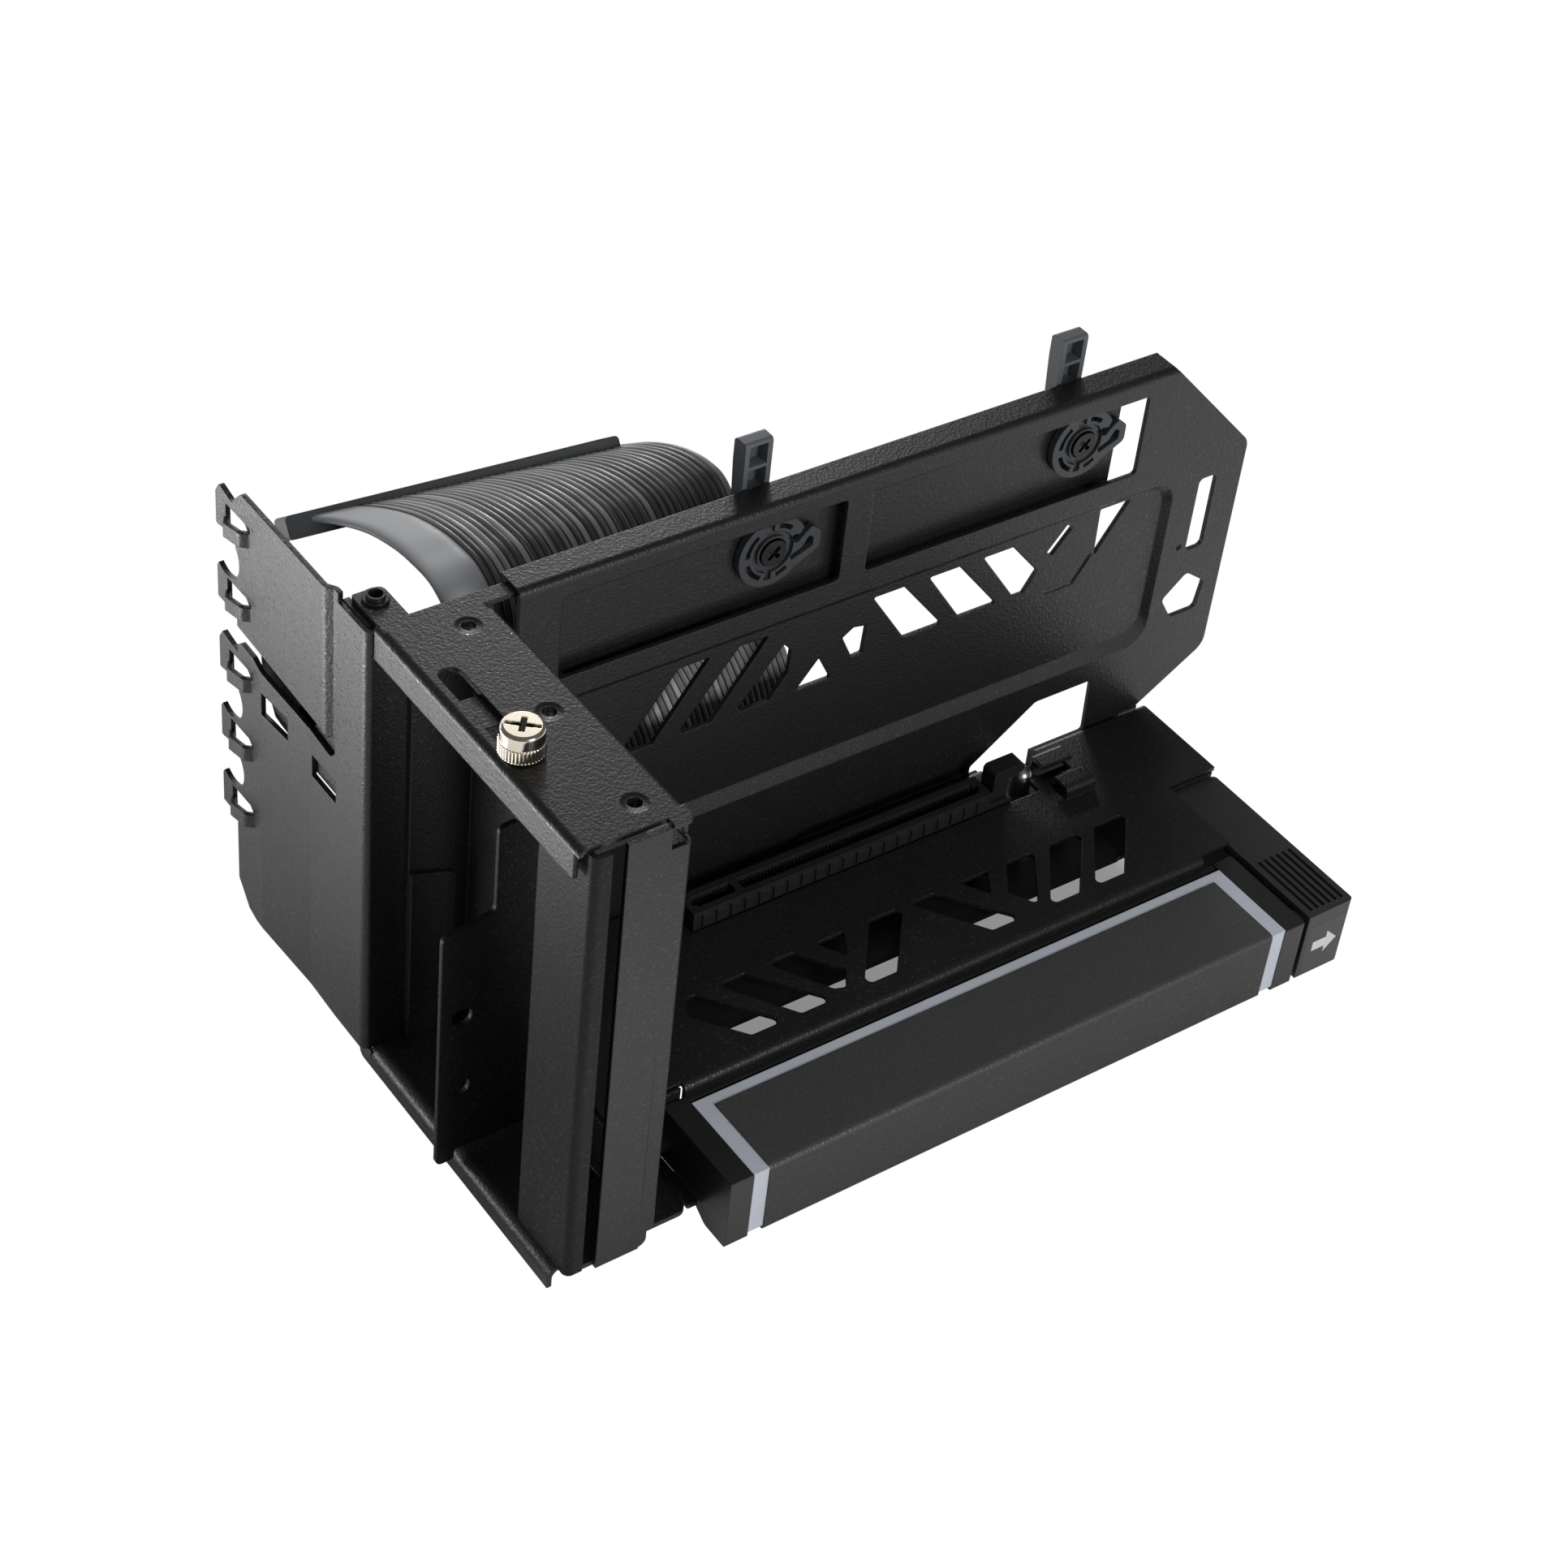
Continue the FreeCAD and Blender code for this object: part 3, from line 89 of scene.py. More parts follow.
class Wire:
    # a node's output that takes part in sums: each operator adds one Math node
    def __init__(self, tree, socket):
        self.tree = tree
        self.socket = socket

    def node(self, kind, settings=None, sockets=None, out=0):
        made = self.tree.nodes.new(kind)
        for key, value in (settings or {}).items():
            setattr(made, key, value)
        for key, value in (sockets or {}).items():
            if isinstance(value, Wire):
                self.tree.links.new(value.socket, made.inputs[key])
            else:
                made.inputs[key].default_value = value
        return Wire(self.tree, made.outputs[out])

    def math(self, operation, *values):
        return self.node("ShaderNodeMath", {"operation": operation}, dict(enumerate(values)))

    def __add__(self, other):
        return self.math("ADD", self, other)

    def __radd__(self, other):
        return self.math("ADD", other, self)

    def __sub__(self, other):
        return self.math("SUBTRACT", self, other)

    def __rsub__(self, other):
        return self.math("SUBTRACT", other, self)

    def __mul__(self, other):
        return self.math("MULTIPLY", self, other)

    def __rmul__(self, other):
        return self.math("MULTIPLY", other, self)

    def __truediv__(self, other):
        return self.math("DIVIDE", self, other)

    def __rtruediv__(self, other):
        return self.math("DIVIDE", other, self)

    def __pow__(self, other):
        return self.math("POWER", self, other)

    def __abs__(self):
        return self.math("ABSOLUTE", self)

    def __lt__(self, other):
        return self.math("LESS_THAN", self, other)

    def __gt__(self, other):
        return self.math("GREATER_THAN", self, other)

    def step(self, low, high):
        # 0 below low, 1 above high, smooth between
        return self.node("ShaderNodeMapRange", {"interpolation_type": "SMOOTHSTEP"},
                         {"Value": self, "From Min": low, "From Max": high})

    def inside(self, low, high, soft):
        # 1 between low and high, fading over soft on both sides
        return self.step(low - soft, low + soft) * (1.0 - self.step(high - soft, high + soft))

    def blend(self, a, b):
        # colour a where this is 0, colour b where it is 1
        return self.node("ShaderNodeMix", {"data_type": "RGBA"}, {0: self, 6: colour(a), 7: colour(b)}, 2)

    def noise(self, scale, detail=2.0, roughness=0.5):
        return self.node("ShaderNodeTexNoise", None,
                         {"Vector": self, "Scale": scale, "Detail": detail, "Roughness": roughness})

    def cells(self, scale, out=0):
        return self.node("ShaderNodeTexVoronoi", {"feature": "F1"}, {"Vector": self, "Scale": scale}, out)

    def softCells(self, scale, smooth):
        return self.node("ShaderNodeTexVoronoi", {"feature": "SMOOTH_F1"},
                         {"Vector": self, "Scale": scale, "Smoothness": smooth})

    def scaled(self, x, y, z):
        return self.node("ShaderNodeVectorMath", {"operation": "MULTIPLY"}, {0: self, 1: (x, y, z)})

    def axes(self):
        return [self.node("ShaderNodeSeparateXYZ", None, {"Vector": self}, n) for n in range(3)]

    def drawn(self):
        # object coordinates as drawing millimetres, one wire for each axis
        return [(axis - float(frameCorner[n])) * 1000.0 for n, axis in enumerate(self.axes())]

    def surface(self, kind="ShaderNodeOutputMaterial"):
        # this shader becomes the tree's surface
        output = self.tree.nodes.new(kind)
        self.tree.links.new(self.socket, output.inputs["Surface"])


def colour(value):
    # a number becomes a grey, three numbers a colour; a wire stays as it is
    if isinstance(value, Wire):
        return value
    return (value, value, value, 1.0) if isinstance(value, (int, float)) else (*value, 1.0)


def shades(base, *factors):
    # one colour times each factor
    return [[c * factor for c in base] for factor in factors]


def away(x, y, centre):
    # distance from a centre: the root of the two squares' sum
    return ((x - centre[0]) ** 2.0 + (y - centre[1]) ** 2.0) ** 0.5


def newMaterial(name):
    # an empty material with its object coordinates and its UV map
    made = bpy.data.materials.new(name)
    made.use_nodes = True
    tree = made.node_tree
    tree.nodes.clear()
    coords = tree.nodes.new("ShaderNodeTexCoord")
    return made, Wire(tree, coords.outputs["Object"]), Wire(tree, coords.outputs["UV"])


def finishMaterial(coords, base, rough, height=None, depth=0.0, edge=0.0, **uniform):
    # principled shader: the rounded edge normal first, then the bump of height on it
    sockets = {"Base Color": colour(base), "Roughness": rough}
    normal = coords.node("ShaderNodeBevel", {"samples": 4}, {"Radius": edge}) if edge else None
    if height is not None:
        bump = {"Height": height, "Distance": depth, "Strength": 1.0}
        if normal is not None:
            bump["Normal"] = normal
        normal = coords.node("ShaderNodeBump", None, bump)
    if normal is not None:
        sockets["Normal"] = normal
    sockets.update({key.replace("_", " "): value for key, value in uniform.items()})
    coords.node("ShaderNodeBsdfPrincipled", None, sockets).surface()


coat = {"base": 0.009, "grain": 1400.0, "depth": 0.00008, "rough": 0.38, "edge": 0.0005}
coverCoat = {"base": 0.012, "grain": 1500.0, "depth": 0.00013, "rough": 0.4, "edge": 0.0005}
peelMix = {"smooth": 0.7, "peel": 0.8, "fine": 0.5, "fineScale": 1.8, "patch": 90.0, "darker": 0.85, "paler": 1.15,
           "speckScale": 1.3, "speckGrey": 0.75, "glints": (0.86, 0.98), "glossAndPaintedGlint": 0.02, "fineGloss": 0.3,
           "glintGloss": 0.2}
# the cover is painted paler above the level as painted light on its top; the grain there is its own finish
coverTop = {"level": 0.0196, "soft": 0.0004, "tone": 0.06, "calm": 0.12}
countersinks = {"at": ((17.3, 7.0), (17.3, 38.6), (17.3, 70.2)), "inner": 1.7, "outer": 3.2, "depth": 5.2,
                "below": 0.3}


def powderCoat(name, base, grain, depth, rough, edge, top=None, sunk=None, **uniform):
    # close-set smooth cells make the peel, finer noise breaks it up, a few cells are glossier and painted a paler
    # tint as painted glints;
    # with a top given it is painted paler above that level as painted light on the top and smooth below it, and it
    # is dished round the sunk holes of the top plate
    p = peelMix
    made, at, uv = newMaterial(name)
    peel = at.softCells(grain, p["smooth"])
    fine = at.noise(grain * p["fineScale"], 3.0, 0.6)
    patch = at.noise(p["patch"], 3.0, 0.6)
    speck = at.cells(grain * p["speckScale"], 1)
    # glossier cells, also painted a paler tint as painted glints
    glossAndPaintedGlint = speck.node("ShaderNodeSeparateColor", None, {"Color": speck}).step(*p["glints"])
    body = patch.blend(base * p["darker"], base * p["paler"])
    tinted = speck.node("ShaderNodeMix", {"data_type": "RGBA"}, {0: p["speckGrey"], 6: speck, 7: colour(0.5)}, 2)
    roughness = rough + (fine - 0.5) * p["fineGloss"] - glossAndPaintedGlint * p["glintGloss"]
    height = peel * p["peel"] + fine * p["fine"]
    if top is not None:
        level = float(frameCorner[2]) + top["level"]
        above = at.axes()[2].step(level - top["soft"], level + top["soft"])
        # above the level: a paler tone painted as painted light on the top, and the full peel grain as the cover's
        # own texture
        height, body = height * (top["calm"] + (1.0 - top["calm"]) * above), above.blend(body, top["tone"])
    if sunk is not None:
        x, y, z = at.drawn()
        upper = z > topLevel - sunk["below"]
        for hole in sunk["at"]:
            dish = 1.0 - away(x, y, hole).step(sunk["inner"], sunk["outer"])
            height = height - dish * upper * sunk["depth"]
    finishMaterial(at, (glossAndPaintedGlint * p["glossAndPaintedGlint"]).blend(body, tinted), roughness, height, depth, edge, **uniform)
    return made


plastic = {"base": (0.013, 0.013, 0.013), "rough": 0.4, "edge": 0.0003}
clipPlastic = {"rough": 0.46, "edge": 0.0003, "grain": 1800.0, "depth": 0.00003}
mould = {"slow": 60.0, "darker": 0.86, "paler": 1.12, "dust": 420.0, "dustSize": (0.045, 0.02), "drift": 300.0,
         "driftEdge": (0.5, 0.62), "dustCover": 0.25, "dustTone": 0.3, "slowGloss": 0.18, "grainGloss": 0.12}


def mouldedPlastic(name, base, rough, edge, grain=1500.0, depth=0.00002):
    # faint moulding grain, slow change of gloss, sparse dust
    m = mould
    made, at, uv = newMaterial(name)
    grainy = at.noise(grain, 4.0, 0.65)
    slow = at.noise(m["slow"], 3.0, 0.6)
    dust = at.cells(m["dust"]).step(*m["dustSize"]) * at.noise(m["drift"]).step(*m["driftEdge"])
    body = slow.blend(*shades(base, m["darker"], m["paler"]))
    roughness = rough + (slow - 0.5) * m["slowGloss"] + (grainy - 0.5) * m["grainGloss"]
    finishMaterial(at, (dust * m["dustCover"]).blend(body, m["dustTone"]), roughness, grainy, depth, edge)
    return made


nickel = {"base": (0.74, 0.675, 0.56), "rough": 0.17, "edge": 0.0, "grain": 0.000004}
plating = {"cloud": 500.0, "scratch": (9000.0, 9000.0, 400.0), "darker": 0.88, "dulled": (0.55, 0.8),
           "dullGloss": 0.12, "scratchGloss": 0.1, "cloudDepth": 0.6, "recessShade": 0.3}


def brightMetal(name, base, rough, edge, grain, pit=None):
    # plated metal: cloudy plating, fine scratches along z, dulled spots; painted darker below the level of a pit, as
    # painted shade in the recess
    p = plating
    made, at, uv = newMaterial(name)
    cloud = at.noise(p["cloud"], 3.0, 0.6)
    scratch = at.scaled(*p["scratch"]).noise(1.0, 2.0, 0.5)
    body = cloud.blend(*shades(base, p["darker"], 1.0))
    if pit is not None:
        x, y, z = at.drawn()
        # painted shade: the base colour is darkened inside the pit below its level
        paintedRecessShade = (away(x, y, pit["centre"]) < pit["radius"]) * (1.0 - z.step(pit["level"] - pit["soft"], pit["level"]))
        body = paintedRecessShade.blend(body, *shades(base, p["recessShade"]))
    roughness = rough + cloud.step(*p["dulled"]) * p["dullGloss"] + (scratch - 0.5) * p["scratchGloss"]
    finishMaterial(at, body, roughness, scratch + cloud * p["cloudDepth"], grain, edge, Metallic=1.0)
    return made


slider = {"left": 214.6, "neck": 218.9, "tip": 222.6, "level": 9.6, "half": 1.5, "head": 3.5, "soft": 0.06,
          "face": -9.0, "skin": 0.12, "panel": (212.2, 17.0), "corner": 2.0, "cornerSoft": 0.1,
          "body": (0.02, 0.027), "paler": (0.04, 0.05), "ink": ((0.66, 0.67, 0.67), (0.78, 0.79, 0.79)),
          "rough": 0.36, "grainGloss": 0.15, "panelGloss": 0.06, "panelHeight": 3.0, "inkHeight": 1.5,
          "depth": 0.00002, "edge": 0.0004}


def sliderMaterial():
    # moulded black; on the front face a paler panel with one rounded corner and a white arrow printed on it:
    # the shaft is a band of one half width, the head's half width falls evenly from neck to tip
    s = slider
    made, at, uv = newMaterial("releaseSlider")
    x, y, z = at.drawn()
    soft, corner = s["soft"], s["corner"]
    front = y < s["face"] + s["skin"]
    along, rise = x - s["neck"], abs(z - s["level"])
    shaft = x.inside(s["left"], s["neck"] + 0.1, soft) * (1.0 - rise.step(s["half"] - soft, s["half"] + soft))
    slope = s["head"] * (1.0 - along / (s["tip"] - s["neck"]))
    head = along.step(-soft, soft) * (slope - rise).step(-soft, soft)
    mark = front * shaft.math("MAXIMUM", shaft, head)
    inX, inZ = x - s["panel"][0] - corner, s["panel"][1] - corner - z
    outX, outZ = inX.math("MINIMUM", inX, 0.0), inZ.math("MINIMUM", inZ, 0.0)
    panel = front * (1.0 - away(outX, outZ, (0.0, 0.0)).step(corner - s["cornerSoft"], corner + s["cornerSoft"]))
    grain = at.noise(1600.0, 4.0, 0.65)
    slow = at.noise(mould["slow"], 3.0, 0.6)
    body = panel.blend(slow.blend(*s["body"]), slow.blend(*s["paler"]))
    rough = s["rough"] + (grain - 0.5) * s["grainGloss"] + panel * s["panelGloss"]
    height = grain + panel * s["panelHeight"] + mark * s["inkHeight"]
    finishMaterial(at, mark.blend(body, grain.blend(*s["ink"])), rough, height, s["depth"], s["edge"])
    return made


materials = {
    "black_steel": powderCoat("blackSteel", **coat),
    "nickel": brightMetal("nickel", **nickel),
    "zinc": brightMetal("zinc", (0.46, 0.47, 0.48), 0.32, 0.0002, 0.00001),
    "clip_grey": mouldedPlastic("pegGrey", (0.1, 0.11, 0.122), **clipPlastic),
    "black_screw": brightMetal("blackScrew", (0.05, 0.05, 0.052), 0.34, 0.00025, 0.00001),
    "socket_black": mouldedPlastic("socketBlack", **plastic),
    "contact_gold": brightMetal("contactGold", (0.70, 0.60, 0.42), 0.28, 0.0, 0.000004),
    "board_black": mouldedPlastic("boardBlack", (0.016, 0.018, 0.017), 0.38, 0.0002, 2500.0, 0.00001),
    "cable_black": mouldedPlastic("cableBlack", (0.014, 0.014, 0.014), 0.36, 0.0003),
    "cable_grey": mouldedPlastic("cableGrey", (0.36, 0.368, 0.385), 0.42, 0.0, 900.0, 0.00002),
    "plug_grey": mouldedPlastic("plugGrey", (0.02, 0.027, 0.034), 0.5, 0.0004, 1800.0, 0.00003),
    "bar_black": mouldedPlastic("barBlack", (0.014, 0.014, 0.014), 0.33, 0.0004),
    "cover_black": powderCoat("coverBlack", **coverCoat, top=coverTop),
    "diffuser": mouldedPlastic("diffuser", (0.6, 0.635, 0.71), 0.38, 0.0003, 1200.0, 0.00001),
    "led_white": mouldedPlastic("ledWhite", (0.72, 0.71, 0.62), 0.35, 0.0002),
}
dullCoat = powderCoat("dullSteel", **coat, Specular_IOR_Level=0.14)
# a darker copy of the pegs' clip plastic for the levers: painted shade for the shadowed window they sit in
shadedLeverGrey = mouldedPlastic("shadedLeverGrey", (0.036, 0.04, 0.045), **clipPlastic)
ownFinish = {"release_slider": sliderMaterial(), "front_cheek": dullCoat, "card_clamp": dullCoat,
             "end_frame": powderCoat("frameSteel", **coat, sunk=countersinks),
             "lever_left": shadedLeverGrey, "lever_right": shadedLeverGrey}
for name, body in nodes.items():
    body.data.materials.clear()
    body.data.materials.append(ownFinish.get(name, materials[slots[name]]))
print("materials:", len(materials))


def gridFaces(rows, cols):
    # quads between neighbouring rows and columns; the last column joins the first
    r, c = np.meshgrid(np.arange(rows - 1), np.arange(cols), indexing="ij")
    d = (c + 1) % cols
    return np.stack((r * cols + c, r * cols + d, (r + 1) * cols + d, (r + 1) * cols + c), -1).reshape(-1, 4)


def closedLoop(rows, cols):
    # faces round the loop, and end strips that join its front half to its back half
    n = np.arange(cols // 2 - 1)
    first = np.stack((n, cols - 1 - n, cols - 2 - n, n + 1), -1)
    last = first[:, ::-1] + (rows - 1) * cols
    return np.concatenate((gridFaces(rows, cols), first, last))


def signedVolume(points, faces):
    # sum of the tetrahedra from the origin to the two triangles of each quad
    a, b, c, d = (points[faces[:, n]] for n in range(4))
    return float((a * np.cross(b, c)).sum() + (a * np.cross(c, d)).sum()) / 6


def addPiece(name, points, faces, body, finish, uv=None, replaced=(), smooth=True):
    # one mesh from points in drawing millimetres and quads, turned so its faces look outward
    points = place(points).reshape(-1, 3)
    if signedVolume(points, faces) < 0:
        faces = faces[:, ::-1]
    mesh = bpy.data.meshes.new(name)
    mesh.from_pydata(points.tolist(), [], faces.tolist())
    mesh.polygons.foreach_set("use_smooth", np.full(len(faces), smooth))
    if uv is not None:
        layer = mesh.uv_layers.new(name="UVMap")
        layer.data.foreach_set("uv", np.asarray(uv, np.float32).reshape(-1, 2)[faces.ravel()].ravel())
    mesh.validate()
    mesh.materials.append(finish)
    made = bpy.data.objects.new(name, mesh)
    bpy.context.scene.collection.objects.link(made)
    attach(made, body)
    if replaced:
        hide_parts(*replaced)
    return made


def curve(points, t):
    # uniform Catmull-Rom curve through the points, t from 0 to the last point's number
    p = np.asarray(points, float)
    p = np.vstack((2 * p[0] - p[1], p, 2 * p[-1] - p[-2]))
    i = np.clip(t.astype(int), 0, len(p) - 4)
    u = (t - i)[:, None]
    a, b, c, d = p[i], p[i + 1], p[i + 2], p[i + 3]
    cubic = (3 * b - a - 3 * c + d) * u ** 3
    return 0.5 * (2 * b + (c - a) * u + (2 * a - 5 * b + 4 * c - d) * u ** 2 + cubic)


# the tones go by millimetres along the cable from the plug: painted paler near it as a painted sheen, and paler on
# the run behind the wall as painted light
ribTones = {"dark": (0.05, 0.052, 0.055), "pale": (0.42, 0.42, 0.415), "lowDark": (0.24, 0.24, 0.242),
            "lowPale": (0.85, 0.85, 0.84), "lower": (72.0, 88.0), "upper": (14.0, 46.0), "paintedSheenTone": 0.4,
            "paintedSheenShare": 0.6, "groove": (0.55, 1.0), "paintedGrooveShade": (0.006, 0.05), "paintedGlintRibs": (0.62, 0.9),
            "ribShare": 0.55, "streaks": (0.5, 0.72), "paintedStreakShare": 0.45, "streakScale": (4.0, 0.05, 1.0),
            "rough": 0.34, "ribGloss": 0.1, "grooveGloss": 0.3, "streakGloss": 0.2, "depth": 0.00001}


def ribMaterial():
    # each rib has its own gloss by its number, and some ribs and streaks along them are painted pale as painted
    # glints; the grooves between ribs are dull and painted dark as painted shade
    r = ribTones
    made, at, uv = newMaterial("ribbonRibs")
    across, along, none = uv.axes()
    number = across.math("FLOOR", across)
    chance = number.node("ShaderNodeTexWhiteNoise", {"noise_dimensions": "1D"}, {"W": number})
    # the valleys between ribs are duller and painted dark as painted shade, a little paler near the plug with the
    # painted sheen
    groove = abs((across - number) * 2.0 - 1.0).step(*r["groove"])
    streak = uv.scaled(*r["streakScale"]).noise(1.0, 3.0, 0.6)
    # pale ribs and streaks are painted glints
    tone = chance.step(*r["paintedGlintRibs"]) * r["ribShare"] + streak.step(*r["streaks"]) * r["paintedStreakShare"]
    # the run behind the wall is painted paler as painted light, and the cable near the plug paler as a painted sheen
    lower, upper = along.step(*r["lower"]), 1.0 - along.step(*r["upper"])
    ribs = tone.blend(lower.blend(r["dark"], r["lowDark"]), lower.blend(r["pale"], r["lowPale"]))
    withPaintedSheen = (upper * r["paintedSheenShare"]).blend(ribs, r["paintedSheenTone"])
    rough = r["rough"] - chance * r["ribGloss"] + groove * r["grooveGloss"] + (streak - 0.5) * r["streakGloss"]
    finishMaterial(at, groove.blend(withPaintedSheen, upper.blend(*r["paintedGrooveShade"])), rough, streak, r["depth"])
    return made


ribbon = {
    "left": ((13.2, 137.4, 115.2), (14.6, 134.5, 116.6), (17.8, 127.2, 119.4), (20.0, 118.0, 122.4),
             (21.0, 108.3, 124.4), (21.5, 100.8, 124.8), (21.5, 92.6, 124.6), (21.6, 86.0, 121.0),
             (22.2, 83.6, 114.5), (23.5, 83.4, 107.0), (32.0, 83.6, 88.0), (41.5, 84.0, 69.0),
             (49.0, 84.2, 44.0), (54.2, 84.4, 22.0), (54.6, 82.0, 12.4), (54.6, 75.0, 9.4),
             (54.6, 66.0, 9.2), (54.6, 58.5, 9.2)),
    "right": ((88.4, 124.4, 118.0), (89.8, 121.5, 119.8), (92.8, 115.5, 123.2), (95.4, 110.0, 125.0),
              (97.0, 105.6, 125.7), (98.0, 100.6, 126.0), (98.5, 95.0, 125.4), (98.6, 90.4, 122.2),
              (99.0, 88.2, 115.5), (100.5, 88.0, 107.0), (109.0, 88.2, 88.0), (118.5, 88.6, 69.0),
              (126.0, 88.8, 44.0), (131.2, 89.0, 22.0), (131.6, 86.6, 12.4), (131.6, 79.0, 9.4),
              (131.6, 70.0, 9.2), (131.6, 58.5, 9.2)),
    "thick": 1.5, "rows": 104, "ribs": 38, "perRib": 6, "ribHeight": 0.5, "heights": (0.62, 1.0),
    "leans": (-0.35, 0.35), "roundness": 0.6, "split": 0.151, "marginCols": 13, "seed": 7,
}


def ribbonSheet(name, fractions, heights, across01, finish, replaced):
    # straight lines between the two edge curves; both faces are set out along the sheet's normal by the heights;
    # the UV map holds the place across and the millimetres along
    rows = ribbon["rows"]
    t = np.linspace(0.0, len(ribbon["left"]) - 1.001, rows)
    left, right = curve(ribbon["left"], t), curve(ribbon["right"], t)
    across = right - left
    sheet = left[:, None] + across[:, None] * fractions[None, :, None]
    normal = np.cross(np.gradient(sheet, axis=0), across[:, None])
    normal /= np.linalg.norm(normal, axis=2, keepdims=True)
    lift = np.asarray(heights)[None, :, None]
    front = sheet - normal * (ribbon["ribHeight"] - lift)
    back = sheet - normal * (ribbon["thick"] + lift)
    loop = np.concatenate((front, back[:, ::-1]), axis=1)
    steps = np.linalg.norm(np.diff(sheet[:, 0], axis=0), axis=1)
    length = np.concatenate(((0.0,), np.cumsum(steps)))
    both = np.concatenate((across01, across01[::-1]))
    uv = np.stack(np.broadcast_arrays(both[None, :], length[:, None]), -1)
    return addPiece(name, loop, closedLoop(rows, len(both)), "mount", finish, uv, replaced)


def ribbonPieces():
    # ribs: half-round waves across the sheet, each with its own height and lean; margin: the same sheet left plain
    ribs, split, high = ribbon["ribs"], ribbon["split"], ribbon["ribHeight"]
    across = np.linspace(0.0, ribs, ribs * ribbon["perRib"] + 1)
    chance = np.random.default_rng(ribbon["seed"])
    number = np.minimum(across.astype(int), ribs - 1)
    full = chance.uniform(*ribbon["heights"], ribs)[number]
    lean = chance.uniform(*ribbon["leans"], ribs)[number]
    arch = np.abs(np.sin(np.pi * across)) ** ribbon["roundness"]
    wave = high * np.clip(arch * full * (1.0 + lean * (2.0 * (across - number) - 1.0)), 0.0, 1.0)
    ribbed = ribbonSheet("ribbonRibs", split + (1.0 - split) * across / ribs, wave, across,
                         ribMaterial(), ("riser_ribbon",))
    plain = np.linspace(0.0, 1.0, ribbon["marginCols"])
    flat = high * (1.0 - (2.0 * plain - 1.0) ** 8)
    ribbonSheet("ribbonMargin", split * plain, flat, plain, materials["cable_grey"], ("ribbon_margin",))
    return ribbed


print("ribbon:", len(ribbonPieces().data.polygons), "ribbed faces")

# flank: inset and rise from the seat; shoulder: inset and drop from the top
screw = {"x": 5.8, "y": 30.5, "seat": 0.3, "radius": 4.95, "height": 7.0, "flutes": 40, "perFlute": 8,
         "fluteDepth": 0.32, "slot": 3.7, "slotWidth": 0.5, "slotShare": 0.5, "cross": 2.3, "crossWidth": 0.62,
         "crossFall": 0.55, "recess": 1.5, "bevel": 0.14, "turn": -40.0, "stem": 2.0, "stemLow": -8.0,
         "thread": 0.7, "threadDepth": 0.28, "stemRows": 90, "rimRows": 70, "crownRows": 52, "crown": 0.05,
         "flank": ((1.0, 0.0), (0.35, 0.06), (0.02, 0.4), (0.0, 0.7), (0.0, 1.8), (0.0, 2.9), (0.02, 3.3),
                   (0.14, 3.5), (0.26, 3.66), (0.26, 4.2), (0.26, 5.4)),
         "shoulder": ((0.27, 0.9), (0.36, 0.55), (0.6, 0.24), (0.95, 0.07)),
         "pitRadius": 4.1, "pitBelow": 0.1, "pitSoft": 0.5}


